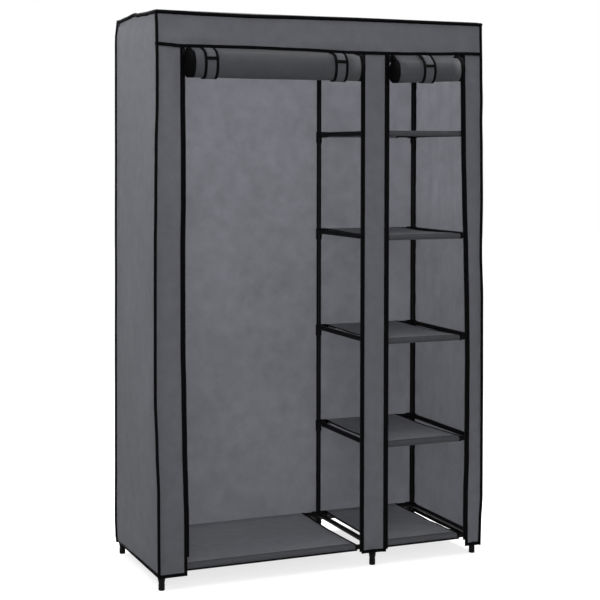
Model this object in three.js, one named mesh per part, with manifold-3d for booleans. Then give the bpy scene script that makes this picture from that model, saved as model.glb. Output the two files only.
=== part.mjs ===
// Portable fabric wardrobe: a steel pole frame with plastic connectors, four fabric shelves, two
// fabric floors, a hanging rod, a piped fabric cover and two zipped front doors that are rolled up.
// Millimetres, +Z up, front towards -Y, origin on the floor under the middle of the whole object.

import * as THREE from "three";
import { mergeVertices } from "three/addons/utils/BufferGeometryUtils.js";
import Module from "manifold-3d";

const wasm = await Module();
wasm.setup();

// Cover
const cover_width = 1100;
const cover_depth = 450;
const cover_height = 1750;
const fabric_thickness = 1;
const hem_height = 38;
const valance_height = 105;
const piping_side = 7;
const piping_thickness = 1.2;
const seam_piping_proud = 2.2;
const seam_piping_inset = 0.2;
const seam_gap = 0.3;

// Frame
const pole_radius = 8;
const pole_wall = 0.6;
const connector_radius = 10.5;
const socket_clearance = 0.3;
const socket_reach = 22;
const socket_stop = 11;
const sleeve_above = 8;
const sleeve_below = 28;
const top_cap_thickness = 2;
const frame_clearance = 0.5;
const right_bay_width = 367;
const base_level = 62;
const first_shelf_rise = 322;
const shelf_pitch = 334;
const shelf_count = 4;
const tee_length = 32;
const round_sides = 12;

// Feet
const foot_height = 20;
const foot_radius = 9;
const flare_radius = 11.7;

// Shelves and floors
const hem_sleeve_thickness = 0.8;
const shelf_fabric_thickness = 1;
const shelf_left_margin = 23;
const shelf_right_margin = 64;
const floor_left_margin = 48;
const floor_right_margin = 59;

// Front posts and zips
const left_post_width = 84;
const middle_post_width = 100;
const right_post_top_width = 72;
const right_post_hem_width = 45;
const zip_tape_width = 13;
const zip_tape_thickness = 1.2;
const slider_width = 10;
const slider_body_depth = 4;
const slider_height = 14;
const slider_top_drop = 8;
const lug_thickness = 1.2;
const lug_depth = 5;
const lug_height = 5;
const pin_radius = 1;
const pin_stand_off = 2.8;
const pin_sides = 8;
const tab_width = 5.6;
const tab_thickness = 1.6;
const tab_length = 19;
const tab_eye_radius = 2.3;
const tab_eye_clearance = 0.35;

// Rolled doors and their straps
const left_roll_depth = 54;
const left_roll_height = 82;
const right_roll_depth = 50;
const right_roll_height = 72;
const left_roll_drop = 58;
const right_roll_drop = 61;
const right_roll_slope = 11;
const roll_sides = 24;
const strap_sides = 18;
const strip_spans = 8;
const left_roll_near_gap = 5;
const left_roll_far_gap = 12;
const right_roll_near_gap = 5;
const right_roll_far_gap = 10;
const door_sheet_thickness = 0.8;
const strap_width = 45;
const strap_thickness = 0.8;
const strap_play = 2.4;
const strap_seam_offset = 3.2;
const first_strap_inset = 63;
const second_strap_inset = 81;
const third_strap_share = 0.468;

// Colours and finishes
const cover_fabric = new THREE.MeshStandardMaterial({ color: 0x5f6166, roughness: 0.92, metalness: 0 });
const shelf_fabric = new THREE.MeshStandardMaterial({ color: 0x4e5055, roughness: 0.92, metalness: 0 });
const door_fabric = new THREE.MeshStandardMaterial({ color: 0x515358, roughness: 0.9, metalness: 0 });
const black_trim = new THREE.MeshStandardMaterial({ color: 0x0b0b0c, roughness: 0.8, metalness: 0 });
const black_steel = new THREE.MeshStandardMaterial({ color: 0x0e0e10, roughness: 0.38, metalness: 0.2 });
const black_plastic = new THREE.MeshStandardMaterial({ color: 0x0c0c0d, roughness: 0.5, metalness: 0 });

// Places that follow from the sizes
const half_width = cover_width / 2;
const half_depth = cover_depth / 2;
const column_inset = connector_radius + frame_clearance + fabric_thickness;
const left_x = column_inset - half_width;
const right_x = half_width - column_inset;
const middle_x = right_x - right_bay_width;
const front_y = column_inset - half_depth;
const back_y = half_depth - column_inset;
const top_level = cover_height - column_inset;
const bore_radius = pole_radius + socket_clearance;
const pole_bore = pole_radius - pole_wall;
const sleeve_radius = pole_radius + hem_sleeve_thickness;
const seam_level = cover_height - valance_height;
const seam_underside = seam_level - piping_side / 2;
const hanging_top = seam_underside - seam_gap;
const pole_end = socket_stop + socket_clearance;
const shelf_levels = [];
for (let shelf = 0; shelf < shelf_count; shelf += 1) {
  shelf_levels.push(base_level + first_shelf_rise + shelf * shelf_pitch);
}
const left_opening = [left_post_width - half_width, middle_x - middle_post_width / 2];
const right_opening = [middle_x + middle_post_width / 2, half_width - right_post_top_width];
const roll_back_y = -half_depth - seam_gap;
const left_roll = {
  from: left_opening[0] + left_roll_near_gap,
  to: left_opening[1] - left_roll_far_gap,
  depth: left_roll_depth,
  height: left_roll_height,
  level: seam_level - left_roll_drop,
  slope: 0,
};
const right_roll = {
  from: right_opening[0] + right_roll_near_gap,
  to: right_opening[1] - right_roll_far_gap,
  depth: right_roll_depth,
  height: right_roll_height,
  level: seam_level - right_roll_drop,
  slope: right_roll_slope,
};
const front_projection = seam_gap + strap_play + strap_thickness
  + Math.max(left_roll_depth, right_roll_depth);

const wardrobe = new THREE.Group();
wardrobe.name = "fabric_wardrobe";
wardrobe.position.y = front_projection / 2;

// Basic solids
function boxBetween(low, high) {
  const size = high.map((value, axis) => value - low[axis]);
  const geometry = new THREE.BoxGeometry(...size);
  geometry.translate(...high.map((value, axis) => (value + low[axis]) / 2));
  return geometry;
}

function turnTo(geometry, axis) {
  if (axis === "x") {
    geometry.rotateZ(-Math.PI / 2);
  }
  if (axis === "z") {
    geometry.rotateX(Math.PI / 2);
  }
  return geometry;
}

// A round bar along x, y or z, from one coordinate to another, through a point beside that axis.
function bar(axis, radius, from, to, point, sides = round_sides) {
  const geometry = turnTo(new THREE.CylinderGeometry(radius, radius, to - from, sides), axis);
  const middle = (from + to) / 2;
  const places = {
    x: [middle, point[1], point[2]],
    y: [point[0], middle, point[2]],
    z: [point[0], point[1], middle],
  };
  geometry.translate(...places[axis]);
  return geometry;
}

function toSolid(geometry) {
  const bare = geometry.clone();
  bare.deleteAttribute("normal");
  bare.deleteAttribute("uv");
  const merged = mergeVertices(bare);
  const mesh = new wasm.Mesh({
    numProp: 3,
    vertProperties: Float32Array.from(merged.attributes.position.array),
    triVerts: Uint32Array.from(merged.index.array),
  });
  mesh.merge();
  return new wasm.Manifold(mesh);
}

function toGeometry(solid) {
  const mesh = solid.getMesh();
  const geometry = new THREE.BufferGeometry();
  geometry.setAttribute("position", new THREE.BufferAttribute(mesh.vertProperties, mesh.numProp));
  geometry.setIndex(new THREE.BufferAttribute(mesh.triVerts, 1));
  geometry.computeVertexNormals();
  return geometry;
}

function join(parts, cuts = []) {
  let solid = toSolid(parts[0]);
  for (const part of parts.slice(1)) {
    solid = solid.add(toSolid(part));
  }
  for (const cut of cuts) {
    solid = solid.subtract(toSolid(cut));
  }
  return toGeometry(solid);
}

function piece(name, geometry, material) {
  const mesh = new THREE.Mesh(geometry, material);
  mesh.name = name;
  wardrobe.add(mesh);
  return mesh;
}

// Six full-height columns, each with its foot cap
const columns = [
  ["front_left", left_x, front_y],
  ["front_middle", middle_x, front_y],
  ["front_right", right_x, front_y],
  ["back_left", left_x, back_y],
  ["back_middle", middle_x, back_y],
  ["back_right", right_x, back_y],
];
const column_top = top_level + sleeve_above - top_cap_thickness - socket_clearance;
const foot_top = foot_height - socket_clearance;
const flare_top = hem_height - seam_gap;
for (const [place, x, y] of columns) {
  const axis = [x, y, 0];
  const foot = bar("z", foot_radius, 0, foot_top, axis);
  const pole = bar("z", pole_radius, 0, column_top, axis);
  const hollow = bar("z", pole_bore, foot_top, column_top + pole_radius, axis);
  piece("column_" + place, join([foot, pole], [hollow]), black_steel);
}

// A pole that runs front to back between two columns, with the connector at each of its ends.
// The sides say where the connectors also hold a pole along x: -1 to the left, 1 to the right.
function sideRail(name, x, level, sides, tee_side = 0) {
  const is_base = level === base_level;
  const is_top = level === top_level;
  const axis = [x, 0, level];
  const parts = [bar("y", pole_radius, front_y, back_y, axis)];
  const cuts = [bar("y", pole_bore, front_y, back_y, axis)];
  for (const [y, inward] of [[front_y, 1], [back_y, -1]]) {
    const corner = [x, y, level];
    const low = is_base ? flare_top : level - sleeve_below;
    const high = level + sleeve_above;
    const bore_top = is_top ? high - top_cap_thickness : high + pole_radius;
    parts.push(bar("z", connector_radius, low, high, corner));
    const reach = [y, y + inward * socket_reach].sort((a, b) => a - b);
    parts.push(bar("y", connector_radius, ...reach, corner));
    if (is_base) {
      const flare = turnTo(
        new THREE.CylinderGeometry(flare_radius, foot_radius, flare_top - foot_height, round_sides),
        "z",
      );
      flare.translate(x, y, (flare_top + foot_height) / 2);
      parts.push(flare);
    }
    cuts.push(bar("z", bore_radius, low - pole_radius - foot_height, bore_top, corner));
    for (const side of sides) {
      const outward = [x, x + side * socket_reach].sort((a, b) => a - b);
      const stop = x + side * socket_stop;
      const mouth = x + side * (socket_reach + pole_radius);
      parts.push(bar("x", connector_radius, ...outward, corner));
      cuts.push(bar("x", bore_radius, Math.min(stop, mouth), Math.max(stop, mouth), corner));
    }
  }
  if (tee_side !== 0) {
    const centre = [x, 0, level];
    const outward = [x, x + tee_side * socket_reach].sort((a, b) => a - b);
    const stop = x + tee_side * socket_stop;
    const mouth = x + tee_side * (socket_reach + pole_radius);
    parts.push(bar("y", connector_radius, -tee_length / 2, tee_length / 2, centre));
    parts.push(bar("x", connector_radius, ...outward, centre));
    cuts.push(bar("x", bore_radius, Math.min(stop, mouth), Math.max(stop, mouth), centre));
  }
  piece(name, join(parts, cuts), black_plastic);
}

sideRail("left_rail_base", left_x, base_level, [1]);
sideRail("left_rail_top", left_x, top_level, [1], 1);
sideRail("middle_rail_base", middle_x, base_level, [-1, 1]);
sideRail("middle_rail_top", middle_x, top_level, [-1, 1], -1);
sideRail("right_rail_base", right_x, base_level, [-1]);
sideRail("right_rail_top", right_x, top_level, [-1]);
shelf_levels.forEach((level, shelf) => {
  sideRail("middle_rail_" + (shelf + 1), middle_x, level, [1]);
  sideRail("right_rail_" + (shelf + 1), right_x, level, [-1]);
});

// Poles along x at the top, and the hanging rod between its two tee connectors
function crossPole(name, from, to, y) {
  const start = from + pole_end;
  const end = to - pole_end;
  const axis = [0, y, top_level];
  const hollow = bar("x", pole_bore, start - pole_radius, end + pole_radius, axis);
  piece(name, join([bar("x", pole_radius, start, end, axis)], [hollow]), black_steel);
}

crossPole("top_pole_front_left", left_x, middle_x, front_y);
crossPole("top_pole_back_left", left_x, middle_x, back_y);
crossPole("top_pole_front_right", middle_x, right_x, front_y);
crossPole("top_pole_back_right", middle_x, right_x, back_y);
crossPole("hanging_rod", left_x, middle_x, 0);

// A fabric shelf: a flat sheet sewn into a sleeve at its front and back, with a pole in each sleeve
function fabricShelf(name, from, to, level, left_margin, right_margin) {
  const start = from + pole_end;
  const end = to - pole_end;
  const left_edge = from + left_margin;
  const right_edge = to - right_margin;
  const sheet_top = level + pole_radius;
  const parts = [boxBetween(
    [left_edge, front_y, sheet_top - shelf_fabric_thickness],
    [right_edge, back_y, sheet_top],
  )];
  const cuts = [];
  for (const y of [front_y, back_y]) {
    const axis = [0, y, level];
    parts.push(bar("x", pole_radius, start, end, axis));
    parts.push(bar("x", sleeve_radius, left_edge, right_edge, axis));
    cuts.push(bar("x", pole_bore, start - pole_radius, end + pole_radius, axis));
  }
  piece(name, join(parts, cuts), shelf_fabric);
}

fabricShelf("left_floor", left_x, middle_x, base_level, floor_left_margin, floor_right_margin);
fabricShelf("right_floor", middle_x, right_x, base_level, shelf_left_margin, shelf_right_margin);
shelf_levels.forEach((level, shelf) => {
  fabricShelf("shelf_" + (shelf + 1), middle_x, right_x, level, shelf_left_margin, shelf_right_margin);
});

// Cover panels, set in from the corners by the piping and a seam gap
const edge = piping_side + seam_gap;
const outer = [half_width, half_depth, cover_height];
const inner = [half_width - edge, half_depth - edge, cover_height - edge];
const inside = outer.map((value) => value - fabric_thickness);
const hem_top = hem_height + piping_side + seam_gap;
piece("roof_panel", boxBetween(
  [-inner[0], -inner[1], inside[2]],
  [inner[0], inner[1], outer[2]],
), cover_fabric);
piece("back_panel", boxBetween(
  [-inner[0], inside[1], hem_top],
  [inner[0], outer[1], inner[2]],
), cover_fabric);
piece("left_side_panel", boxBetween(
  [-outer[0], -inner[1], hem_top],
  [-inside[0], inner[1], inner[2]],
), cover_fabric);
piece("right_side_panel", boxBetween(
  [inside[0], -inner[1], hem_top],
  [outer[0], inner[1], inner[2]],
), cover_fabric);
piece("front_valance", boxBetween(
  [-inner[0], -outer[1], seam_level + piping_side / 2 + seam_gap],
  [inner[0], -inside[1], inner[2]],
), cover_fabric);

// A flat strip of the front, from the hem to the seam. Each of its two long edges is one x, or a
// pair of an x at the seam and an x at the hem where it leans.
function frontStrip(name, edges, thickness, material) {
  const [left, right] = edges.map((edge_x) => [edge_x].flat());
  const shape = new THREE.Shape([
    new THREE.Vector2(left.at(-1), hem_height),
    new THREE.Vector2(right.at(-1), hem_height),
    new THREE.Vector2(right[0], hanging_top),
    new THREE.Vector2(left[0], hanging_top),
  ]);
  const geometry = new THREE.ExtrudeGeometry(shape, { depth: thickness, bevelEnabled: false, steps: 1 });
  geometry.rotateX(Math.PI / 2);
  geometry.translate(0, thickness - outer[1], 0);
  piece(name, geometry, material);
}

// Front posts between the doors. The right one narrows towards the hem, because its zip leans.
const tape_and_gap = zip_tape_width + seam_gap;
const leaning_edge = [right_opening[1], half_width - right_post_hem_width];
const posts = [
  ["left_front_post", -inner[0], left_opening[0] - tape_and_gap],
  ["middle_front_post", left_opening[1] + tape_and_gap, right_opening[0] - tape_and_gap],
  ["right_front_post", leaning_edge.map((edge_x) => edge_x + tape_and_gap), inner[0]],
];
for (const [name, ...edges] of posts) {
  frontStrip(name, edges, fabric_thickness, cover_fabric);
}

// Piping along the cover's edges, its hem and the seam under the valance: a thin shell with a
// window cut in each side, so that a narrow angle is left along every edge
const shell = piping_thickness;
const rim = piping_side;
const piping_shell = boxBetween([-outer[0], -outer[1], hem_height], outer);
const seam_piping = boxBetween(
  [seam_gap - outer[0], -outer[1] - seam_piping_proud, seam_underside + seam_piping_inset],
  [outer[0] - seam_gap, shell / 2 - outer[1], seam_underside + rim - seam_piping_inset],
);
const piping_cuts = [
  boxBetween(
    [shell - outer[0], shell - outer[1], hem_height - edge],
    [outer[0] - shell, outer[1] - shell, outer[2] - shell],
  ),
  boxBetween(
    [rim - outer[0], rim - outer[1], outer[2] - edge],
    [outer[0] - rim, outer[1] - rim, outer[2] + edge],
  ),
  boxBetween(
    [rim - outer[0], outer[1] - edge, hem_height + rim],
    [outer[0] - rim, outer[1] + edge, outer[2] - rim],
  ),
  boxBetween(
    [rim - outer[0], -outer[1] - edge, seam_underside + rim],
    [outer[0] - rim, edge - outer[1], outer[2] - rim],
  ),
  boxBetween(
    [rim - outer[0], -outer[1] - edge, hem_height - edge],
    [outer[0] - rim, edge - outer[1], seam_underside],
  ),
];
for (const x of [-outer[0], outer[0]]) {
  piping_cuts.push(boxBetween(
    [x - edge, rim - outer[1], hem_height + rim],
    [x + edge, outer[1] - rim, outer[2] - rim],
  ));
}
piece("cover_piping", join([piping_shell, seam_piping], piping_cuts), black_trim);

// Zip tapes along the doors' openings. Each has its opening edge, at the seam and at the hem, and
// the side on which the opening lies: 1 to its right, -1 to its left.
const zips = [
  ["left_door_zip_left", [left_opening[0], left_opening[0]], 1],
  ["left_door_zip_right", [left_opening[1], left_opening[1]], -1],
  ["right_door_zip_left", [right_opening[0], right_opening[0]], 1],
  ["right_door_zip_right", leaning_edge, -1],
];
const slider_back = roll_back_y;
const slider_front = slider_back - slider_body_depth;
const slider_top = hanging_top - slider_top_drop;
const pin_level = slider_top - slider_height / 2 + lug_height / 2;
const pin_y = slider_front - pin_stand_off;
for (const [name, opening_edge, side_of_opening] of zips) {
  const sewn_edge = opening_edge.map((edge_x) => edge_x - side_of_opening * zip_tape_width);
  const edges = side_of_opening > 0 ? [sewn_edge, opening_edge] : [opening_edge, sewn_edge];
  frontStrip(name, edges, zip_tape_thickness, black_trim);
  const lean = (opening_edge[1] - opening_edge[0]) / (hanging_top - hem_height);
  const edge_x = opening_edge[0] + lean * (hanging_top - pin_level);
  const centre_x = edge_x - (side_of_opening * (slider_width - tab_width)) / 2;
  const parts = [boxBetween(
    [centre_x - slider_width / 2, slider_front, slider_top - slider_height],
    [centre_x + slider_width / 2, slider_back, slider_top],
  )];
  const lug_outside = tab_width / 2 + seam_gap + lug_thickness;
  for (const side of [-1, 1]) {
    const lug_x = [side * (lug_outside - lug_thickness), side * lug_outside].sort((a, b) => a - b);
    parts.push(boxBetween(
      [centre_x + lug_x[0], slider_front - lug_depth, pin_level - lug_height / 2],
      [centre_x + lug_x[1], slider_front, pin_level + lug_height / 2],
    ));
  }
  const pin_ends = [centre_x - lug_outside + lug_thickness / 2, centre_x + lug_outside - lug_thickness / 2];
  const pin_axis = [0, pin_y, pin_level];
  parts.push(bar("x", pin_radius, ...pin_ends, pin_axis, pin_sides));
  piece(name + "_slider", join(parts), black_plastic);
  const tab_x = [centre_x - tab_width / 2, centre_x + tab_width / 2];
  const eye = bar("x", tab_eye_radius, ...tab_x, pin_axis, pin_sides);
  const plate = boxBetween(
    [tab_x[0], pin_y - tab_thickness / 2, pin_level - tab_length],
    [tab_x[1], pin_y + tab_thickness / 2, pin_level],
  );
  const eye_bore = bar(
    "x",
    pin_radius + tab_eye_clearance,
    tab_x[0] - tab_width,
    tab_x[1] + tab_width,
    pin_axis,
    pin_sides,
  );
  piece(name + "_pull", join([eye, plate], [eye_bore]), black_plastic);
}

// A rolled-up door: an oval roll in front of the posts, and the strip that it hangs from
function ovalPoint(centre, half_depth_of_oval, half_height_of_oval, turn) {
  return new THREE.Vector2(
    centre.x + half_depth_of_oval * Math.cos(turn),
    centre.y + half_height_of_oval * Math.sin(turn),
  );
}

// Extrudes an outline drawn in y and z along x.
function alongX(outline, from, to) {
  const shape = new THREE.Shape(outline);
  const geometry = new THREE.ExtrudeGeometry(shape, { depth: to - from, bevelEnabled: false, steps: 1 });
  geometry.rotateY(Math.PI / 2);
  geometry.rotateX(Math.PI / 2);
  geometry.translate(from, 0, 0);
  return geometry;
}

// The turn at which a straight line from a point above an oval touches the oval's front.
function touchingTurn(centre, half_depth_of_oval, half_height_of_oval, point) {
  const across = (point.x - centre.x) / half_depth_of_oval;
  const up = (point.y - centre.y) / half_height_of_oval;
  return Math.atan2(up, across) + Math.acos(1 / Math.hypot(across, up));
}

// A ribbon's outline, from its centre line, as a closed loop of points that stays under the seam.
function ribbonOutline(line, thickness) {
  const sides = [[], []];
  line.forEach((point, index) => {
    const before = line[Math.max(index - 1, 0)];
    const after = line[Math.min(index + 1, line.length - 1)];
    const along = after.clone().sub(before).normalize();
    const across = new THREE.Vector2(-along.y, along.x).multiplyScalar(thickness / 2);
    sides[0].push(point.clone().add(across));
    sides[1].push(point.clone().sub(across));
  });
  const outline = [...sides[0], ...sides[1].reverse()];
  return outline.map((point) => new THREE.Vector2(point.x, Math.min(point.y, hanging_top)));
}

// Joins ribbon outlines that stand one behind another along x. Both faces of the twisted strip
// between two of them are split along the same diagonal, so that its thickness stays even.
function loftAlongX(sections, stations) {
  const count = sections[0].length;
  const places = [];
  sections.forEach((section, index) => {
    section.forEach((point) => places.push(stations[index], point.x, point.y));
  });
  const corners = [];
  for (let near = 0; near < (sections.length - 1) * count; near += count) {
    const far = near + count;
    for (let side = 0; side < count; side += 1) {
      const next = (side + 1) % count;
      if (side < count / 2) {
        corners.push(near + side, far + side, far + next, near + side, far + next, near + next);
      } else {
        corners.push(near + side, far + side, near + next, far + side, far + next, near + next);
      }
    }
  }
  const last = (sections.length - 1) * count;
  for (let side = 2; side < count; side += 1) {
    corners.push(0, side - 1, side, last, last + side, last + side - 1);
  }
  const geometry = new THREE.BufferGeometry();
  geometry.setAttribute("position", new THREE.Float32BufferAttribute(places, 3));
  geometry.setIndex(corners);
  return geometry;
}

// The strip of door between the seam and the roll, which it meets where it would touch its front.
function doorStripSection(roll, level) {
  const centre = new THREE.Vector2(roll_back_y - roll.depth / 2, level);
  const spare = seam_gap + door_sheet_thickness / 2;
  const seam = new THREE.Vector2(door_sheet_thickness / 2 - outer[1], hanging_top);
  const oval = [centre, roll.depth / 2 + spare, roll.height / 2 + spare];
  const lip = ovalPoint(...oval, touchingTurn(...oval, seam));
  return ribbonOutline([seam, lip], door_sheet_thickness);
}

// The level of a roll's axis at a share of its length, counted from its left end.
function levelAt(roll, share) {
  return roll.level + share * roll.slope - roll.slope / 2;
}

function rolledDoor(name, roll) {
  const half_height = roll.height / 2;
  const centre = new THREE.Vector2(0, 0);
  const outline = [];
  for (let side = 0; side < roll_sides; side += 1) {
    const turn = (2 * Math.PI * side) / roll_sides;
    outline.push(ovalPoint(centre, roll.depth / 2, half_height, turn));
  }
  const length = roll.to - roll.from;
  const mesh = piece(name + "_roll", alongX(outline, -length / 2, length / 2), door_fabric);
  mesh.position.set(
    (roll.from + roll.to) / 2,
    roll_back_y - roll.depth / 2,
    roll.level,
  );
  mesh.rotation.y = -Math.atan2(roll.slope, length);
  const sections = [];
  const stations = [];
  for (let span = 0; span <= strip_spans; span += 1) {
    const share = span / strip_spans;
    stations.push(roll.from + share * length);
    sections.push(doorStripSection(roll, levelAt(roll, share)));
  }
  piece(name + "_sheet", loftAlongX(sections, stations), door_fabric);
}

rolledDoor("left_door", left_roll);
rolledDoor("right_door", right_roll);

// A strap hangs behind the door's strip, passes under the roll and comes back up in front of it.
function strap(name, centre_x, roll) {
  const share = (centre_x - roll.from) / (roll.to - roll.from);
  const centre = new THREE.Vector2(roll_back_y - roll.depth / 2, levelAt(roll, share));
  const spare = strap_play + strap_thickness / 2;
  const oval = [centre, roll.depth / 2 + spare, roll.height / 2 + spare];
  const line = [new THREE.Vector2(centre.x + oval[1], hanging_top)];
  const seam_front = new THREE.Vector2(-outer[1] - strap_seam_offset, hanging_top);
  const last_turn = touchingTurn(...oval, seam_front) - 2 * Math.PI;
  for (let side = 0; side <= strap_sides; side += 1) {
    line.push(ovalPoint(...oval, (last_turn * side) / strap_sides));
  }
  line.push(seam_front);
  const outline = ribbonOutline(line, strap_thickness);
  piece(name, alongX(outline, centre_x - strap_width / 2, centre_x + strap_width / 2), door_fabric);
}

strap("left_door_strap_1", left_roll.from + first_strap_inset, left_roll);
strap("left_door_strap_2", left_roll.to - second_strap_inset, left_roll);
const right_roll_length = right_roll.to - right_roll.from;
strap("right_door_strap", right_roll.from + right_roll_length * third_strap_share, right_roll);

export default wardrobe;
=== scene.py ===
"""Portable fabric wardrobe: cloth, piping, zips, rolled doors, shelves, poles and connectors.

Metres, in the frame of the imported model: +Z up, the front faces -Y.
"""

import math

import bmesh
import bpy
import numpy as np
from mathutils import Matrix, Vector, noise


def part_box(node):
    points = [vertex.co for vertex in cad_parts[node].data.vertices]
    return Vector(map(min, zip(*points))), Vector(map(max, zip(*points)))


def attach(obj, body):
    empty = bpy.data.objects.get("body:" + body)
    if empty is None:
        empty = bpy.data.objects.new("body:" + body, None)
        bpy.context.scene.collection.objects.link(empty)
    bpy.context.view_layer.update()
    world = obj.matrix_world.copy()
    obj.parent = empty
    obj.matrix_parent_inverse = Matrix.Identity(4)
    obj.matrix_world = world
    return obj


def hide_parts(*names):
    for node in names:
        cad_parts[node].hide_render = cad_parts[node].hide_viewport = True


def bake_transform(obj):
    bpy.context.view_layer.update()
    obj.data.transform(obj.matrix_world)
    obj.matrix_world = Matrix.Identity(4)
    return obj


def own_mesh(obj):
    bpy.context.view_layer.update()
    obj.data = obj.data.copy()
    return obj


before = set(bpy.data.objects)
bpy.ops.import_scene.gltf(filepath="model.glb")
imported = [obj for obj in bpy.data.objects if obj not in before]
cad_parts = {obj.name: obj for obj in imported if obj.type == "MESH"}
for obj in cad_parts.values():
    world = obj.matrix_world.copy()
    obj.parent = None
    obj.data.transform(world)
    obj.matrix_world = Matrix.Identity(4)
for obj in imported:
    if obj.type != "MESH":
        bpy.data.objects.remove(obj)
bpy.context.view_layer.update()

MM = 0.001
STATIC = "frame_and_cover"
X, Y, Z = range(3)


def low(node, axis):
    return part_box(node)[0][axis]


def high(node, axis):
    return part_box(node)[1][axis]


def centre(node, axis):
    return (low(node, axis) + high(node, axis)) / 2


# Planes of the cover, read from the frame
LEFT = low("cover_piping", X)
RIGHT = high("cover_piping", X)
FRONT = low("front_valance", Y)
BACK = high("cover_piping", Y)
TOP = high("cover_piping", Z)
HEM = low("cover_piping", Z)
HANGING_TOP = high("left_front_post", Z)
SEAM = (low("front_valance", Z) + HANGING_TOP) / 2

# Camera, worked out from the photograph
CAMERA_PLACE = (-1.82101, -4.22323, 1.32158)
CAMERA_AZIMUTH = math.radians(22.3624)
CAMERA_ELEVATION = math.radians(-2.2249)
CAMERA_ROLL = math.radians(0.0399)
PHOTO_SIDE = 600
FOCAL_PIXELS = 1410.666
AXIS_PIXEL = (277.535, 208.186)
SENSOR = 36.0

# Cloth and tapes
COVER_THICKNESS = 0.8 * MM
TAPE_THICKNESS = 1.0 * MM
THIN_TAPE_THICKNESS = 0.6 * MM
PIPING_RADIUS = 4.8 * MM
ROOF_PIPING_RADIUS = 5.9 * MM
BACK_PIPING_RADIUS = 6.2 * MM
# How far the back-left piping's middle lies inside the cover's corner: (sideways, forward)
BACK_PIPING_INSET = (0.1 * MM, 4.5 * MM)
FRONT_PIPING_REACH = 1.5 * MM
FRONT_EDGE_DROP = 7.3 * MM
BACK_EDGE_DROP = 3.6 * MM
SEAM_BINDING_HEIGHT = 10.5 * MM
SEAM_BINDING_DEPTH = 3 * MM
SEAM_BINDING_CORNER = 1.2 * MM
HEM_BINDING_HEIGHT = 12.5 * MM
POST_HEM_HEIGHT = 10.5 * MM
BINDING_DEPTH = 2.4 * MM
BINDING_CORNER = 0.8 * MM

# How the cover's edges stray from straight: (height, sideways) in millimetres
FRONT_LEFT_BEND = (
    (38, 0.5), (122, 0), (290, -0.5), (435, -5.3), (585, -10.1), (734, -10), (884, -9.6), (1034, -9),
    (1184, -7.1), (1333, -5.5), (1483, -1.8), (1556, -1.5), (1690, -2.6), (1750, -5),
)
BACK_LEFT_BEND = (
    (38, -1.2), (60, -3.8), (118, -5.8), (300, -4.6), (600, -3.5), (1000, -1.9), (1400, -0.3),
    (1690, 0.6), (1740, 5), (1750, 6.5),
)
FRONT_RIGHT_BEND = (
    (38, 10), (98, 11.5), (190, 16.3), (507, 15.6), (836, 14), (1005, 8.6), (1164, 10.5),
    (1328, 8.6), (1434, 6.2), (1492, 7.2), (1583, 5), (1750, 2.2),
)
BACK_RIGHT_BEND = ((38, 0), (90, 4), (1700, 4), (1750, 0))
# How the zips' opening edges stray from straight: (height, sideways)
LEFT_ZIP_BOW = (
    (38, 12.5), (226, 12), (286, 9.8), (435, 6.3), (585, 4.3), (734, 1.7), (1034, 1.6), (1184, 3.8),
    (1333, 3.8), (1483, 2.4), (1750, 2),
)
RIGHT_ZIP_BOW = (
    (38, -6), (113, -5.7), (179, -4), (343, 1.7), (507, 4.8), (672, 7.5), (836, 7.3), (1000, 5.4),
    (1164, 2.2), (1328, 0.2), (1492, 0.5), (1593, 0), (1750, 0),
)
# The seam's rise and fall: (distance from the left side, height) in millimetres
SEAM_BEND = (
    (0, 3), (30, 1), (73, -2), (140, -1.1), (300, -0.8), (465, -2.6), (635, -6.5), (808, -5.6),
    (915, -3.4), (1060, 1), (1100, 1),
)
# The hem's rise and fall along the front, from the left, and along the right side, from the back
FRONT_HEM_BEND = ((0, 0), (700, 4), (1030, -11), (1100, -12))
RIGHT_HEM_BEND = ((0, -5), (200, -7), (330, -7), (420, -9), (450, -12))
# The lift of the roof's left edge over the rod's connector: (distance from the back, height)
ROOF_LIFT = ((0, 3.2), (40, 1.6), (100, 4), (212, 9), (256, 4), (360, 1), (450, 0))
# The sag of the roof's front edge: (distance from the left side, height)
ROOF_SAG = (
    (0, 0), (45, -0.6), (140, -2.4), (300, -3.6), (465, -1.6), (635, -0.3), (1050, -0.6), (1100, -1.3),
)


def mix(a, b, share):
    return a + (b - a) * share


def levels(start, end, count):
    """Evenly spaced values from start to end, both included."""
    return [mix(start, end, step / count) for step in range(count + 1)]


def smooth(share):
    """A share from 0 to 1, made level at both ends."""
    return share * share * (3 - 2 * share)


def bend(profile, at):
    """A profile in millimetres, eased between its points, read at a place in metres and given in metres."""
    at /= MM
    for (start, first), (end, last) in zip(profile, profile[1:]):
        if at <= end:
            share = min(max((at - start) / (end - start), 0), 1)
            return mix(first, last, smooth(share)) * MM
    return profile[-1][1] * MM


def from_left(x):
    return x - LEFT


def from_back(y):
    return BACK - y


def strayed(straight, profile, measured=float):
    """A function for an edge that strays from a straight place by a profile."""
    return lambda at: straight + bend(profile, measured(at))


front_left_x = strayed(LEFT, FRONT_LEFT_BEND)
back_left_x = strayed(LEFT, BACK_LEFT_BEND)
front_right_x = strayed(RIGHT, FRONT_RIGHT_BEND)
back_right_x = strayed(RIGHT, BACK_RIGHT_BEND)
seam_z = strayed(SEAM, SEAM_BEND, from_left)
front_roof_z = strayed(TOP - FRONT_EDGE_DROP, ROOF_SAG, from_left)
left_roof_z = strayed(TOP, ROOF_LIFT, from_back)
front_hem = strayed(HEM, FRONT_HEM_BEND, from_left)
right_hem = strayed(HEM, RIGHT_HEM_BEND, from_back)


def forward_share(y):
    """Zero at the cover's back and one at its front."""
    return (BACK - y) / (BACK - FRONT)


def left_x(y, z):
    return mix(back_left_x(z), front_left_x(z), forward_share(y))


def right_x(y, z):
    return mix(back_right_x(z), front_right_x(z), forward_share(y))


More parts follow.
